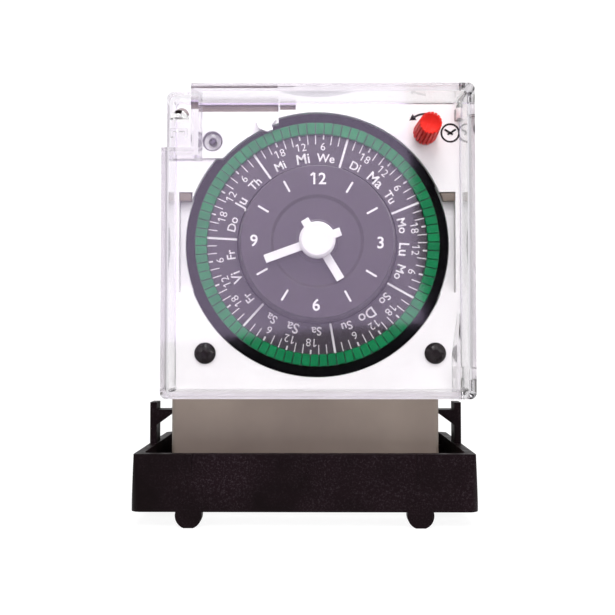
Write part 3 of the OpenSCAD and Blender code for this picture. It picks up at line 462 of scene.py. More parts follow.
class Bench:
    """Operators on one piece at a time, as by hand."""

    weld_mm: float = 0.001
    sharp_degrees: float = 40.0

    @staticmethod
    def clear() -> None:
        """Leaves edit mode and deselects everything."""
        if bpy.context.object is not None and bpy.context.object.mode != "OBJECT":
            bpy.ops.object.mode_set(mode="OBJECT")
        bpy.ops.object.select_all(action="DESELECT")

    @staticmethod
    def take(piece: Piece) -> None:
        """Makes a piece the active one, with nothing else selected.

        Args:
            piece: Piece to work on.
        """
        Bench.clear()
        piece.select_set(True)
        bpy.context.view_layer.objects.active = piece

    @staticmethod
    @contextmanager
    def editing(whole: bool = True) -> Iterator[None]:
        """Opens the active piece in edit mode and closes it again.

        Args:
            whole: Whether all of it starts selected, or nothing.

        Yields:
            Nothing; the piece is open meanwhile.
        """
        bpy.ops.object.mode_set(mode="EDIT")
        bpy.ops.mesh.select_all(action="SELECT" if whole else "DESELECT")
        yield
        bpy.ops.object.mode_set(mode="OBJECT")

    @staticmethod
    @contextmanager
    def picking(piece: Piece, part: Part, wanted: Callable[[object], bool]) -> Iterator[None]:
        """Opens the active piece in edit mode with only some parts selected, and closes it again.

        Args:
            piece: The active piece.
            part: Kind of part that is picked.
            wanted: Tells whether a part is picked.

        Yields:
            Nothing; the piece is open meanwhile.
        """
        with Bench.editing(whole=False):
            bpy.ops.mesh.select_mode(type=part.name)
        for item in getattr(piece.data, part.value):
            item.select = wanted(item)
        bpy.ops.object.mode_set(mode="EDIT")
        yield
        bpy.ops.object.mode_set(mode="OBJECT")

    @staticmethod
    def face_outwards() -> None:
        """Turns all faces of the open piece outwards."""
        bpy.ops.mesh.select_all(action="SELECT")
        bpy.ops.mesh.normals_make_consistent(inside=False)

    @staticmethod
    def settle(piece: Piece, place: Matrix) -> Piece:
        """Puts a piece in its place and leaves its object at the origin.

        Args:
            piece: Piece to settle.
            place: Size, turn and shift from where it was made.

        Returns:
            The piece.
        """
        Bench.take(piece)
        piece.matrix_world = place
        bpy.ops.object.transform_apply(location=True, rotation=True, scale=True)
        return piece

    @staticmethod
    def join(parts: list[Piece], name: str) -> Piece:
        """Joins parts into one piece.

        Args:
            parts: Parts of the piece.
            name: Name of the piece.

        Returns:
            The joined piece.
        """
        Bench.clear()
        for part in parts:
            part.select_set(True)
        bpy.context.view_layer.objects.active = parts[0]
        bpy.ops.object.join()
        piece = bpy.context.object
        piece.name = name
        piece.data.name = name
        return piece

    @staticmethod
    def repeat(piece: Piece, places: list[Matrix]) -> list[Piece]:
        """Copies a piece to several places, each copy with its own mesh.

        Args:
            piece: Piece at the origin, which goes to the first place.
            places: Place of each copy.

        Returns:
            The copies in place.
        """
        copies = [piece]
        for _ in places[1:]:
            Bench.take(piece)
            bpy.ops.object.duplicate()
            copies.append(bpy.context.object)
        return [Bench.settle(copy, place) for copy, place in zip(copies, places)]

    @staticmethod
    def block(size: Triple | Vector, place: Matrix) -> Piece:
        """Makes a block with sharp edges.

        Args:
            size: Its three sides.
            place: Turn and shift of its middle from the origin.

        Returns:
            The block in place.
        """
        Bench.clear()
        bpy.ops.mesh.primitive_cube_add(size=1)
        return Bench.settle(bpy.context.object, place @ Matrix.Diagonal((*(side * MM for side in size), 1)))

    @staticmethod
    def bar(low: Triple, high: Triple, edge: float) -> Piece:
        """Makes a bar with rounded edges between two corners.

        Args:
            low: Its lowest corner.
            high: Its highest corner.
            edge: Radius of its edges.

        Returns:
            The bar in place.
        """
        bar = Bench.block(Vector(high) - Vector(low), moved(*((Vector(low) + Vector(high)) / 2)))
        with Bench.editing():
            bpy.ops.mesh.bevel(offset=edge * MM, segments=3)
        return bar

    @staticmethod
    def drum(radius: float, length: float, sides: int = 48) -> Piece:
        """Makes a round drum along Z, centred on the origin.

        Args:
            radius: Its radius.
            length: Its length.
            sides: Number of its facets.

        Returns:
            The drum.
        """
        Bench.clear()
        bpy.ops.mesh.primitive_cylinder_add(vertices=sides, radius=radius * MM, depth=length * MM)
        return bpy.context.object

    @staticmethod
    def smooth(degrees: float = 40.0) -> None:
        """Shades the active piece smooth where its faces meet at less than an angle."""
        bpy.ops.object.shade_smooth_by_angle(angle=math.radians(degrees))

    @staticmethod
    def round_off(piece: Piece, width_mm: float, segments: int) -> None:
        """Rounds the sharp edges of the active piece.

        Args:
            piece: The active piece.
            width_mm: Width of the rounding.
            segments: Facets across it.
        """
        bevel = piece.modifiers.new("edges", "BEVEL")
        bevel.width = width_mm * MM
        bevel.segments = segments
        bevel.limit_method = "ANGLE"
        bpy.ops.object.modifier_apply(modifier="edges")

    @staticmethod
    def soften(node: Piece, width_mm: float) -> None:
        """Rounds a solid's edges with live modifiers.

        Args:
            node: Solid to soften.
            width_mm: Width of the rounding.
        """
        weld = node.modifiers.new("weld", "WELD")
        weld.merge_threshold = Bench.weld_mm * MM
        bevel = node.modifiers.new("soft_edges", "BEVEL")
        bevel.width = width_mm * MM
        bevel.segments = 2
        bevel.limit_method = "ANGLE"
        bevel.angle_limit = math.radians(Bench.sharp_degrees)


@dataclass
class Print:
    """Ink in thin relief on a surface that faces the viewer."""

    relief_mm: float = 0.05
    sunk_mm: float = 0.02
    cap_share: float = 0.729
    letter_merge_mm: float = 0.0001
    flag_width: float = 0.13
    flag_long: float = 0.38
    flag_out: float = 0.08
    flag_up: float = 0.35
    flag_tilt: float = 50.0
    end_share: float = 0.3
    arc_merge_mm: float = 0.001
    arc_step: float = 8.0
    fewest_steps: int = 6

    def lettering(self, text: str, cap_mm: float, weight_mm: float) -> Piece:
        """Makes flat letters, centred on their middle, facing the viewer.

        Args:
            text: Words or numbers.
            cap_mm: Height of a capital.
            weight_mm: How much each stroke is fattened at each side.

        Returns:
            The letters as a mesh at the origin, drawn in X and Z.
        """
        Bench.clear()
        bpy.ops.object.text_add()
        letters = bpy.context.object
        letters.data.body = text
        letters.data.size = cap_mm * MM / self.cap_share
        letters.data.align_x = "CENTER"
        letters.data.align_y = "BOTTOM_BASELINE"
        letters.data.offset = weight_mm * MM
        letters.data.extrude = self.relief_mm * MM / 2
        letters.data.resolution_u = 4
        bpy.ops.object.convert(target="MESH")
        with Bench.editing():
            bpy.ops.mesh.remove_doubles(threshold=self.letter_merge_mm * MM)
        return Bench.settle(bpy.context.object, turned(90, "X") @ moved(0, -cap_mm / 2, 0))

    def numeral(self, text: str, cap_mm: float, weight_mm: float) -> Piece:
        """Makes a number; a one at its start gets the short flag at its top.

        Args:
            text: The number.
            cap_mm: Height of a digit.
            weight_mm: How much each stroke is fattened at each side.

        Returns:
            The number as a mesh at the origin, drawn in X and Z.
        """
        digits = self.lettering(text, cap_mm, weight_mm)
        if not text.startswith("1"):
            return digits
        left = min(corner.co.x for corner in digits.data.vertices) / MM
        flag = self.bar(self.flag_width * cap_mm + weight_mm, self.flag_long * cap_mm)
        corner = moved(left - self.flag_out * cap_mm, 0, self.flag_up * cap_mm)
        return Bench.join([digits, Bench.settle(flag, corner @ turned(self.flag_tilt, "Y"))], "number")

    def bar(self, width_mm: float, long_mm: float) -> Piece:
        """Makes an upright stroke centred on its middle, with bevelled edges.

        Args:
            width_mm: Width of the stroke.
            long_mm: Length of the stroke.

        Returns:
            The stroke at the origin, drawn in X and Z.
        """
        stroke = Bench.block((width_mm, self.relief_mm, long_mm), Matrix.Identity(4))
        with Bench.editing():
            bpy.ops.mesh.bevel(offset=width_mm * MM * self.end_share, segments=2)
        return stroke

    def arc(self, radius_mm: float, width_mm: float, start: float, sweep: float) -> Piece:
        """Makes a stroke along a circle.

        Args:
            radius_mm: Radius of the stroke's middle.
            width_mm: Width of the stroke.
            start: Where it starts, in degrees clockwise from twelve.
            sweep: How far it runs, in degrees clockwise.

        Returns:
            The stroke, with the circle's middle at the origin, drawn in X and Z.
        """
        Bench.clear()
        bpy.ops.mesh.primitive_plane_add(size=1)
        section = Matrix.Diagonal((self.relief_mm * MM, width_mm * MM, 1, 1))
        upright = turned(start, "Y") @ moved(0, 0, radius_mm) @ turned(90, "Y") @ turned(90, "Z")
        stroke = Bench.settle(bpy.context.object, upright @ section)
        steps = max(self.fewest_steps, round(abs(sweep) / self.arc_step))
        with Bench.editing():
            bpy.ops.mesh.delete(type="ONLY_FACE")
            bpy.ops.mesh.select_all(action="SELECT")
            bpy.ops.mesh.spin(steps=steps, angle=-math.radians(sweep), center=(0, 0, 0), axis=(0, 1, 0))
            bpy.ops.mesh.select_all(action="SELECT")
            bpy.ops.mesh.remove_doubles(threshold=self.arc_merge_mm * MM)
            bpy.ops.mesh.fill_holes(sides=4)
            Bench.face_outwards()
        return stroke

    def head(self, long_mm: float, half_mm: float) -> Piece:
        """Makes an arrow head that points to the left.

        Args:
            long_mm: Length of the head.
            half_mm: Half its width at the back.

        Returns:
            The head, with the middle of its back at the origin, drawn in X and Z.
        """
        Bench.clear()
        bpy.ops.mesh.primitive_circle_add(vertices=3, radius=1, fill_type="NGON")
        wide, tall = 2 * half_mm / math.sqrt(3), long_mm / 1.5
        shape = Matrix.Diagonal((wide * MM, tall * MM, 1, 1)) @ Matrix.Translation((0, 0.5, 0))
        lie = moved(0, self.relief_mm / 2, 0) @ turned(-90, "Y") @ turned(90, "X")
        head = Bench.settle(bpy.context.object, lie @ shape)
        with Bench.editing():
            bpy.ops.mesh.extrude_region_move(TRANSFORM_OT_translate={"value": (0, -self.relief_mm * MM, 0)})
            Bench.face_outwards()
        return head

    def seat(self, front_mm: float) -> float:
        """Gives the middle of the ink's thickness on a surface."""
        return front_mm + self.sunk_mm - self.relief_mm / 2


@dataclass
class DialFace:
    """The week dial's printing and the fixed clock disc's numbers."""

    axis_x: float = 3.0
    axis_z: float = 67.0
    drum_front: float = -9.3
    disc_front: float = -16.1
    day_zero: float = 16.3
    clock_turn: float = 1.0
    divisions: int = 84
    per_day: int = 12
    dot_every: int = 3
    name_r: float = 21.65
    name_weight: float = 0.045
    name_caps: Triple = (2.15, 2.6, 2.15)
    name_steps: Triple = (2.3, 6.0, 9.55)
    number_r: float = 24.5
    number_cap: float = 2.0
    number_weight: float = -0.01
    numbers: tuple[tuple[str, int], ...] = (("18", 3), ("12", 6), ("6", 9))
    tick_r: tuple[float, float] = (24.95, 27.3)
    tick_w: float = 0.23
    dot_r: tuple[float, float] = (26.2, 27.3)
    dot_w: float = 0.4
    line_r: tuple[float, float] = (19.9, 27.3)
    line_w: float = 0.55
    hour_tick_r: tuple[float, float] = (13.6, 16.6)
    hour_tick_w: float = 0.5
    hour_r: float = 15.2
    hour_cap: float = 2.85
    hour_weight: float = 0.06
    ink: Print = field(default_factory=Print)

    days: tuple[tuple[str, str, str], ...] = (
        ("Di", "Ma", "Tu"), ("Mo", "Lu", "Mo"), ("So", "Do", "Su"), ("Sa", "Sa", "Sa"), ("Fr", "Vi", "Fr"),
        ("Do", "Ju", "Th"), ("Mi", "Mi", "We"))

    def at(self, front: float, angle: float, radius: float, upright: bool = False) -> Matrix:
        """Gives the place of a mark on the dial.

        Args:
            front: Plane that the mark sits on.
            angle: Degrees clockwise from twelve.
            radius: Distance from the axis.
            upright: Whether the mark keeps its top up.

        Returns:
            Turn and shift from the origin to that place.
        """
        out = turned(angle, "Y") @ moved(0, 0, radius) @ turned(-angle if upright else 0, "Y")
        return moved(self.axis_x, self.ink.seat(front), self.axis_z) @ out

    def strokes(
        self, front: float, angles: list[float], span: tuple[float, float], width: float
    ) -> list[Piece]:
        """Makes one radial stroke and copies it to every angle.

        Args:
            front: Plane that the strokes sit on.
            angles: Degrees clockwise from twelve.
            span: Inner and outer radius.
            width: Width of the strokes.

        Returns:
            The strokes in place.
        """
        bar = self.ink.bar(width, span[1] - span[0])
        return Bench.repeat(bar, [self.at(front, angle, sum(span) / 2) for angle in angles])

    def week_print(self) -> Piece:
        """Prints the days, the hours and the ticks on the week dial.

        Returns:
            The printing as one piece.
        """
        front, step = self.drum_front, 360 / self.divisions
        kinds = {self.line_r: [], self.dot_r: [], self.tick_r: []}
        for i in range(self.divisions):
            hour = i % self.per_day
            span = self.tick_r
            if hour == 0:
                span = self.line_r
            elif hour % self.dot_every == 0:
                span = self.dot_r
            kinds[span].append(self.day_zero + i * step)
        marks = []
        for (span, angles), width in zip(kinds.items(), (self.line_w, self.dot_w, self.tick_w)):
            marks += self.strokes(front, angles, span, width)
        starts = [self.day_zero + d * self.per_day * step for d in range(len(self.days))]
        for start, names in zip(starts, self.days):
            for name, cap, along in zip(names, self.name_caps, self.name_steps):
                word = self.ink.lettering(name, cap, self.name_weight)
                marks.append(Bench.settle(word, self.at(front, start + along * step, self.name_r)))
        for number, along in self.numbers:
            digits = self.ink.numeral(number, self.number_cap, self.number_weight)
            marks += Bench.repeat(digits, [self.at(front, start + along * step, self.number_r) for start in starts])
        return Bench.join(marks, "week_print")

    def clock_print(self) -> Piece:
        """Prints the clock's numbers and hour ticks on the fixed disc.

        Returns:
            The printing as one piece.
        """
        marks, ticks = [], []
        for hour in range(1, 13):
            angle = hour * 30.0 + self.clock_turn
            if hour % 3:
                ticks.append(angle)
            else:
                number = self.ink.numeral(str(hour), self.hour_cap, self.hour_weight)
                marks.append(Bench.settle(number, self.at(self.disc_front, angle, self.hour_r, upright=True)))
        marks += self.strokes(self.disc_front, ticks, self.hour_tick_r, self.hour_tick_w)
        return Bench.join(marks, "clock_print")

    def build(self, palette: Palette) -> None:
        """Makes and dresses the printing.

        Args:
            palette: Source of the materials.
        """
        palette.hand_over(self.week_print(), Finish.HAND_WHITE, "dial")
        palette.hand_over(self.clock_print(), Finish.HAND_WHITE, "head")


@dataclass
class FaceMarks:
    """The clock sign and the turning arrow beside the knob."""

    plate_front: float = -9.5
    sign_x: float = 36.1
    sign_z: float = 94.7
    sign_r: float = 2.2
    stroke_w: float = 0.48
    hands: tuple[tuple[float, float], ...] = ((-58, 1.7), (58, 1.7), (122, 0.8), (238, 0.8))
    knob_x: float = 29.9
    knob_z: float = 94.7
    arrow_r: float = 4.8
    arrow_w: float = 0.5
    arrow_start: float = 2.0
    arrow_sweep: float = 35.0
    head_long: float = 1.65
    head_half: float = 0.95
    ink: Print = field(default_factory=Print)

    def build(self, palette: Palette) -> None:
        """Makes and dresses the marks.

        Args:
            palette: Source of the materials.
        """
        seat = self.ink.seat(self.plate_front)
        sign = moved(self.sign_x, seat, self.sign_z)
        marks = [Bench.settle(self.ink.arc(self.sign_r, self.stroke_w, 0, 360), sign)]
        for angle, reach in self.hands:
            hand = self.ink.bar(self.stroke_w, reach)
            marks.append(Bench.settle(hand, sign @ turned(angle, "Y") @ moved(0, 0, reach / 2)))
        knob = moved(self.knob_x, seat, self.knob_z)
        bow = self.ink.arc(self.arrow_r, self.arrow_w, self.arrow_start, -self.arrow_sweep)
        marks.append(Bench.settle(bow, knob))
        tip = turned(self.arrow_start - self.arrow_sweep, "Y") @ moved(0, 0, self.arrow_r)
        marks.append(Bench.settle(self.ink.head(self.head_long, self.head_half), knob @ tip))
        palette.hand_over(Bench.join(marks, "knob_marks"), Finish.BLACK_SCREW, "head")


@dataclass
class StatusLamp:
    """The lamp at the top left: clear lens, white cup and a small dark bulb."""

    x: float = -23.0
    z: float = 92.6
    back: float = -7.9
    shoulder: float = -10.3
    radius: float = 2.43
    wall: float = 0.35
    dome: tuple[tuple[float, float], ...] = ((0.6, 0.0), (0.22, 0.22), (0.35, 0.2), (0.5, 0.1))
    cup_gap: float = 0.1
    cup_front: float = -8.8
    cup_rings: tuple[tuple[float, float], ...] = ((0.9, -0.7),)
    bulb_r: float = 0.95
    bulb_front: float = -9.2
    bulb_rings: tuple[tuple[float, float], ...] = ((0.12, 0.18), (0.25, 0.18), (0.3, 0.08))
    thin_wall: float = 0.1
    smooth_degrees: float = 38.0

    def barrel(self, radius: float, front: float, rings: tuple[tuple[float, float], ...]) -> Piece:
        """Makes a round barrel along Y with a stepped front, open at the back.

        Args:
            radius: Radius of the barrel.
            front: Plane of its shoulder.
            rings: How far each further ring draws in and comes forward.

        Returns:
            The barrel in place.
        """
        middle = moved(self.x, (self.back + front) / 2, self.z)
        barrel = Bench.settle(Bench.drum(radius, self.back - front), middle @ turned(90, "X"))
        with Bench.picking(barrel, Part.FACE, lambda face: face.normal.y > 0.99):
            bpy.ops.mesh.delete(type="FACE")
        with Bench.picking(barrel, Part.FACE, lambda face: face.normal.y < -0.99):
            for inward, forward in rings:
                bpy.ops.mesh.inset(thickness=inward * MM, depth=0)
                bpy.ops.transform.translate(value=(0, -forward * MM, 0))
        return barrel

    def thicken(self, piece: Piece, name: str, wall: float) -> Piece:
        """Gives a barrel its wall and smooth shading.

        Args:
            piece: Barrel to finish.
            name: Name of the piece.
            wall: Thickness that grows inwards.

        Returns:
            The finished piece.
        """
        piece.name = name
        solid = piece.modifiers.new("wall", "SOLIDIFY")
        solid.thickness = wall * MM
        solid.offset = -1
        bpy.ops.object.modifier_apply(modifier="wall")
        Bench.smooth(self.smooth_degrees)
        return piece

    def build(self, palette: Palette) -> None:
        """Makes and dresses the lamp.

        Args:
            palette: Source of the materials.
        """
        lens = self.thicken(self.barrel(self.radius, self.shoulder, self.dome), "status_lens_cap", self.wall)
        palette.hand_over(lens, Finish.CLEAR_PC, "head", stands_for="status_lens")
        cup_r = self.radius - self.wall - self.cup_gap
        cup = self.thicken(self.barrel(cup_r, self.cup_front, self.cup_rings), "lamp_cup", self.thin_wall)
        palette.hand_over(cup, Finish.WHITE_ABS, "head")
        # The bulb lies outside the dial finish's rim radius, so it takes that finish's painted shade colour.
        bulb = self.thicken(self.barrel(self.bulb_r, self.bulb_front, self.bulb_rings), "lamp_bulb", self.thin_wall)
        palette.hand_over(bulb, Finish.DIAL_BLACK, "head")


@dataclass
class HandTails:
    """Square ends of the two hands' short tails."""

    axis_x: float = 3.0
    axis_z: float = 67.0
    hands: tuple[tuple[str, str, float], ...] = (("hour_hand", "hour", 149.0), ("minute_hand", "minute", 250.0))
    width: float = 2.0
    span: tuple[float, float] = (3.6, 5.9)
    inside: float = 0.02
    edge: float = 0.08

    def build(self, palette: Palette) -> None:
        """Makes and dresses the ends.

        Args:
            palette: Source of the materials.
        """
        for node, body, clockwise in self.hands:
            low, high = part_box(node)
            front, back = low.y / MM + self.inside, high.y / MM - self.inside
            near, far = self.span
            end = Bench.bar((-self.width / 2, front, -far), (self.width / 2, back, -near), self.edge)
            Bench.settle(end, moved(self.axis_x, 0, self.axis_z) @ turned(clockwise, "Y"))
            Bench.smooth()
            end.name = body + "_tail"
            palette.hand_over(end, Finish.HAND_WHITE, body)


@dataclass
class SettingKnob:
    """Red knob with deep upright ribs and a dished top, over the steel spindle."""

    x: float = 29.9086
    z: float = 94.7096
    foot: float = -9.8
    height: float = 9.7
    foot_r: float = 3.05
    top_r: float = 2.64
    ribs: int = 18
    per_rib: int = 6
    groove: float = 0.55
    dish_r: float = 4.2
    dish_above: float = 3.6
    bore_r: float = 1.52
    edge: float = 0.04
    smooth_degrees: float = 35.0

    def body(self) -> Piece:
        """Makes the ribbed taper, standing up from the origin.

        Returns:
            The taper.
        """
        Bench.clear()
        corners = self.per_rib * self.ribs
        bpy.ops.mesh.primitive_circle_add(vertices=corners, radius=self.foot_r * MM, fill_type="NGON")
        knob = bpy.context.object
        inward = 1 - self.groove / self.foot_r
        taper = self.top_r / self.foot_r
        with Bench.picking(knob, Part.VERT, lambda corner: corner.index % self.per_rib == 0):
            bpy.ops.transform.resize(value=(inward, inward, 1))
            bpy.ops.mesh.select_all(action="SELECT")
            bpy.ops.mesh.extrude_region_move(TRANSFORM_OT_translate={"value": (0, 0, self.height * MM)})
            bpy.ops.transform.resize(value=(taper, taper, 1))
            Bench.face_outwards()
        return knob

    @staticmethod
    def cut(piece: Piece, tool: Piece) -> None:
        """Cuts one piece out of another and clears the tool away.

        Args:
            piece: Piece that is cut.
            tool: Shape that is taken out.
        """
        Bench.take(piece)
        hollow = piece.modifiers.new("hollow", "BOOLEAN")
        hollow.operation = "DIFFERENCE"
        hollow.object = tool
        bpy.ops.object.modifier_apply(modifier="hollow")
        bpy.data.objects.remove(tool)

    def build(self, palette: Palette) -> None:
        """Makes and dresses the knob.

        Args:
            palette: Source of the materials.
        """
        knob = self.body()
        Bench.clear()
        dish = (0, 0, (self.height + self.dish_above) * MM)
        bpy.ops.mesh.primitive_uv_sphere_add(segments=64, ring_count=32, radius=self.dish_r * MM, location=dish)
        self.cut(knob, bpy.context.object)
        self.cut(knob, Bench.drum(self.bore_r, self.height))
        Bench.settle(knob, moved(self.x, self.foot, self.z) @ turned(90, "X"))
        Bench.round_off(knob, self.edge, 1)
        Bench.smooth(self.smooth_degrees)
        knob.name = "ribbed_knob"
        palette.hand_over(knob, Finish.RED_ABS, "knob", stands_for="set_knob")


@dataclass
class CoverSeal:
    """Black block in the slot of the cover's half dome, painted shade for the slot's dark inside, and the grey pad
    behind it, painted shade of the dome.
    """

    x: float = -30.5
    z: float = 98.3
    front: float = -16.7
    size: Triple = (1.5, 1.8, 0.95)
    edge: float = 0.2
    pad_x: float = -30.08
    pad_z: float = 98.2
    pad_r: float = 1.75
    pad_front: float = -13.75
    pad_d: float = 0.9

    def pad(self) -> Piece:
        """Makes the pad, a half disc with its flat side down.

        Returns:
            The pad.
        """
        middle = moved(self.pad_x, self.pad_front + self.pad_d / 2, self.pad_z)
        pad = Bench.settle(Bench.drum(self.pad_r, self.pad_d), middle @ turned(90, "X"))
        with Bench.editing():
            bpy.ops.mesh.bisect(plane_co=middle.translation, plane_no=(0, 0, 1), use_fill=True, clear_inner=True)
        return pad

    def finish(self, piece: Piece, name: str, palette: Palette, finish: Finish) -> None:
        """Rounds a piece's edges, names it and dresses it.

        Args:
            piece: Piece to finish.
            name: Its name.
            palette: Source of the materials.
            finish: Finish that it gets.
        """
        Bench.round_off(piece, self.edge, 3)
        Bench.smooth()
        piece.name = name
        palette.hand_over(piece, finish, "cover")

    def build(self, palette: Palette) -> None:
        """Makes and dresses the block in the slot and the pad, both painted shade.

        Args:
            palette: Source of the materials.
        """
        # Black block in the slot: painted shade for the slot's dark inside.
        shade_block = Bench.block(self.size, moved(self.x, self.front + self.size[1] / 2, self.z))
        self.finish(shade_block, "seal_plug", palette, Finish.BLACK_ABS)
        # Grey half disc behind the dome: painted shade.
        self.finish(self.pad(), "seal_pad", palette, Finish.GREY_ABS)


@dataclass
class DustStrip:
    """Grey strip in the plate's top slot: painted shade for the slot's shaded inside."""

    spans: tuple[tuple[float, float, float, float], ...] = (
        (-27.9, 100.35, -6.75, 102.1), (-6.2, 100.7, -2.4, 101.9))
    front: float = -8.5
    back: float = -7.83
    edge: float = 0.25

    def build(self, palette: Palette) -> None:
        """Makes and dresses the strip.

        Args:
            palette: Source of the materials.
        """
        # Grey strip: painted shade where the slot only has shade.
        bars = [Bench.bar((left, self.front, low), (right, self.back, high), self.edge)
                for left, low, right, high in self.spans]
        strip = Bench.join(bars, "dust_strip")
        Bench.smooth()
        palette.hand_over(strip, Finish.GREY_ABS, "head")


@dataclass
class PocketStrips:
    """Grey strips at the upper ends of the two side pockets: painted shade for the grey band that shows there, the
    shaded ends of the deep pockets.
    """

    spans: tuple[tuple[float, float], ...] = ((-31.25, -28.3), (33.3, 37.25))
    window: Triple = (3.0, 67.0, 33.2)
    low: float = 77.8
    high: float = 79.95
    front: float = -9.2
    back: float = -7.22
    edge: float = 0.2

    def trim(self, strip: Piece) -> None:
        """Cuts a strip's inner end along the round window's edge.

        Args:
            strip: Strip at the right, which reaches the window.
        """
        x, z, radius = self.window
        rise = (self.low + self.high) / 2 - z
        out = Vector((math.sqrt(radius ** 2 - rise ** 2), 0, rise))
        rim = (Vector((x, 0, z)) + out) * MM
        Bench.take(strip)
        with Bench.editing():
            bpy.ops.mesh.bisect(plane_co=rim, plane_no=out.normalized(), use_fill=True, clear_inner=True)

    def build(self, palette: Palette) -> None:
        """Makes and dresses the strips.

        Args:
            palette: Source of the materials.
        """
        # Grey strips: painted shade where the deep pockets' upper ends only have shade.
        bars = [Bench.bar((left, self.front, self.low), (right, self.back, self.high), self.edge)
                for left, right in self.spans]
        self.trim(bars[1])
        strips = Bench.join(bars, "pocket_strips")
        Bench.smooth()
        palette.hand_over(strips, Finish.GREY_ABS, "head")


@dataclass(frozen=True)
class SoftLamp:
    """One rectangular soft lamp, in metres and watts."""

    size: tuple[float, float]
    place: Triple
    watts: float
    colour: str = WHITE
    roll: float | None = None


class Lamp(Enum):
    """Lamps of the studio; one with a roll faces straight ahead, the others face the object."""

    # Glare on the upper left of the cover, lavender
    GLARE = SoftLamp((0.4, 0.4), (-0.0695, -0.9, 0.245), 0.88, "#ebd6ff", 4.5)
    # Light from above and in front, which sets the shadows
    TOP = SoftLamp((0.4, 0.4), (0.0, -0.5, 0.75), 4.4)
    # Fill from the left
    LEFT = SoftLamp((0.5, 0.5), (-0.8, -0.75, 0.45), 1.7)
    # Fill from the right
    RIGHT = SoftLamp((0.5, 0.5), (0.85, -0.75, 0.45), 3.1)
    # Light on the back, over the backdrop
    BACK = SoftLamp((0.5, 0.5), (0.3, 0.5, 0.85), 2.6)


class SolidDress:
    """Finishes and soft edges of the solids that stay."""

    rounding: dict[str, float] = {
        "mounting_frame": 0.35, "back_cover": 0.5, "front_case": 0.2, "face_plate": 0.1,
        "plate_screws": 0.15, "clear_cover": 0.25, "week_dial": 0.08, "clock_disc": 0.15,
        "hour_hand": 0.1, "minute_hand": 0.1, "hand_cap": 0.2, "terminal_screws": 0.1,
        "terminal_block": 0.2, "back_screws": 0.1}
    tappet_rounding: float = 0.2

    def __init__(self, palette: Palette) -> None:
        """Takes the palette that the solids are dressed from."""
        self.palette = palette

    def finish_of(self, node: str) -> Finish:
        """Finds the finish that the record gives a solid.

        Args:
            node: Name of the solid.

        Returns:
            Its finish.
        """
        slots = {row["node"]: row["material_slot"] for row in frame["record"]["subparts"]}
        return Finish[slots[node].upper()]

    def build(self) -> None:
        """Dresses every solid."""
        for name, node in frame["nodes"].items():
            self.palette.dress(node, self.finish_of(name))
            width = self.tappet_rounding if "tappet" in name else self.rounding.get(name)
            if width:
                Bench.soften(node, width)
            LOG.info("dressed %s", name)


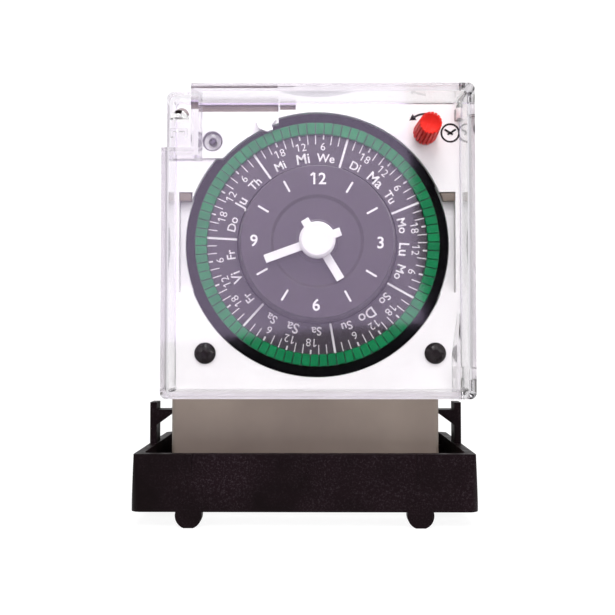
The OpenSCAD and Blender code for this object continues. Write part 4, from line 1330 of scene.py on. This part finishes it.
@dataclass
class Studio:
    """White paper sweep, soft lamps and the camera."""

    eye: Triple = (2.2, -212.5, 44.5)
    pitch_up: float = 1.92
    yaw_left: float = 0.45
    focal_px: float = 819.0
    image_px: float = 615.0
    sensor_mm: float = 36.0
    near_clip: float = 0.01
    paper_side: float = 6.0
    backdrop_side: float = 0.7
    backdrop_y: float = 0.6
    paper_lit: str = "#dddddd"
    paper_dim: str = "#7a7a7a"
    paper_glow: float = 0.9
    cloth: tuple[float, float] = (-0.24, -1.4)
    cloth_lift_mm: float = 2.0
    velvet: str = "#0c0a0c"
    card_size: tuple[float, float] = (0.6, 0.7)
    card_place: Triple = (0.0, -1.0, 0.2)
    world_colour: str = "#b3b3b4"

    def camera(self) -> None:
        """Sets the camera at the photograph's viewpoint."""
        data = bpy.data.cameras.new("viewpoint")
        data.sensor_width = self.sensor_mm
        data.lens = self.sensor_mm * self.focal_px / self.image_px
        data.clip_start = self.near_clip
        camera = bpy.data.objects.new("viewpoint", data)
        camera.location = Vector(self.eye) * MM
        camera.rotation_euler = (math.radians(90 + self.pitch_up), 0, math.radians(self.yaw_left))
        bpy.context.scene.collection.objects.link(camera)
        bpy.context.scene.camera = camera

    @staticmethod
    def light(lamp: Lamp) -> None:
        """Adds one rectangular soft lamp.

        Args:
            lamp: Lamp to add.
        """
        soft = lamp.value
        data = bpy.data.lights.new(lamp.name.lower(), "AREA")
        data.shape = "RECTANGLE"
        data.size, data.size_y = soft.size
        data.energy = soft.watts
        data.color = linear(soft.colour)[:3]
        shade = bpy.data.objects.new(lamp.name.lower(), data)
        way = (CAD_LOW + CAD_HIGH) / 2 - Vector(soft.place) if soft.roll is None else Vector((0, 1, 0))
        aim = way.to_track_quat("-Z", "Y").to_matrix().to_4x4()
        shade.matrix_world = Matrix.Translation(soft.place) @ aim @ turned(soft.roll or 0, "Z")
        shade.visible_camera = False
        bpy.context.scene.collection.objects.link(shade)

    @staticmethod
    def seen(tree: Tree) -> Socket:
        """Tells the rays that see the background from those that only light the object.

        Args:
            tree: Node tree of a material or of the world.

        Returns:
            1 for what the camera sees, also in a mirror or through glass, and 0 otherwise.
        """
        ray = add_node(tree, "ShaderNodeLightPath").outputs
        view = ray["Is Camera Ray"]
        for kind in ("Is Glossy Ray", "Is Transmission Ray"):
            view = add_node(tree, "ShaderNodeMath", {0: view, 1: ray[kind]}, operation="MAXIMUM").outputs[0]
        return view

    def paper(self) -> bpy.types.Material:
        """Makes white paper that reads as white and still takes the shadow.

        Returns:
            The material.
        """
        material, tree = empty_material("White background paper")
        lit = add_node(tree, "ShaderNodeBsdfDiffuse", {"Color": linear(self.paper_lit)})
        dim = add_node(tree, "ShaderNodeBsdfDiffuse", {"Color": linear(self.paper_dim)})
        glow = add_node(tree, "ShaderNodeEmission", {"Color": linear(WHITE), "Strength": self.paper_glow})
        white = add_node(tree, "ShaderNodeAddShader", {0: dim.outputs[0], 1: glow.outputs[0]})
        both = add_node(tree, "ShaderNodeMixShader", {0: self.seen(tree), 1: lit.outputs[0], 2: white.outputs[0]})
        add_node(tree, "ShaderNodeOutputMaterial", {"Surface": both.outputs[0]})
        return material

    def dark_cloth(self) -> bpy.types.Material:
        """Makes the black cloth that keeps glare off the lower part of the cover.

        Returns:
            The material.
        """
        material, tree = empty_material("Black velvet")
        pile = add_node(tree, "ShaderNodeBsdfDiffuse", {"Color": linear(self.velvet)})
        add_node(tree, "ShaderNodeOutputMaterial", {"Surface": pile.outputs[0]})
        return material

    @staticmethod
    def sheet(
        name: str, size: tuple[float, float], place: Matrix, material: bpy.types.Material
    ) -> Piece:
        """Adds one flat sheet of the studio.

        Args:
            name: Name of the sheet.
            size: Its two sides in metres.
            place: Turn and shift from flat at the origin.
            material: Its material.

        Returns:
            The sheet.
        """
        Bench.clear()
        bpy.ops.mesh.primitive_plane_add(size=1)
        sheet = Bench.settle(bpy.context.object, place @ Matrix.Diagonal((size[0], size[1], 1, 1)))
        sheet.name = name
        sheet.data.materials.append(material)
        return sheet

    def world(self) -> None:
        """Sets a pale even surrounding that lights softly and reads as white."""
        world = bpy.data.worlds.new("studio")
        world.use_nodes = True
        tree = world.node_tree
        tree.nodes.clear()
        tone = add_node(tree, "ShaderNodeMix", {
            0: self.seen(tree), 6: linear(self.world_colour), 7: linear(WHITE)}, data_type="RGBA")
        sky = add_node(tree, "ShaderNodeBackground", {"Color": tone.outputs[2], "Strength": 1.0})
        add_node(tree, "ShaderNodeOutputWorld", {"Surface": sky.outputs[0]})
        bpy.context.scene.world = world

    def build(self) -> None:
        """Sets up the paper, the lamps, the world and the camera."""
        bpy.context.scene.view_settings.view_transform = "Standard"
        paper = self.paper()
        self.sheet("paper_floor", (self.paper_side, self.paper_side), Matrix.Identity(4), paper)
        upright = Matrix.Translation((0, self.backdrop_y, self.backdrop_side / 2)) @ turned(90, "X")
        self.sheet("paper_backdrop", (2 * self.backdrop_side, self.backdrop_side), upright, paper)
        near, far = self.cloth
        velvet = self.dark_cloth()
        laid = Matrix.Translation((0, (near + far) / 2, self.cloth_lift_mm * MM))
        facing = Matrix.Translation(self.card_place) @ turned(90, "X")
        self.sheet("dark_cloth", (self.paper_side, near - far), laid, velvet).visible_camera = False
        self.sheet("dark_card", self.card_size, facing, velvet).visible_camera = False
        self.world()
        for lamp in Lamp:
            self.light(lamp)
        self.camera()
        LOG.info("studio set")


def main() -> None:
    """Builds the classes in order."""
    logging.basicConfig(level=logging.INFO, format="%(name)s: %(message)s")
    palette = Palette()
    Studio().build()
    SolidDress(palette).build()
    for kind in (DialFace, FaceMarks, StatusLamp, HandTails, SettingKnob, CoverSeal, DustStrip, PocketStrips):
        kind().build(palette)


if __name__ == "__main__":
    main()
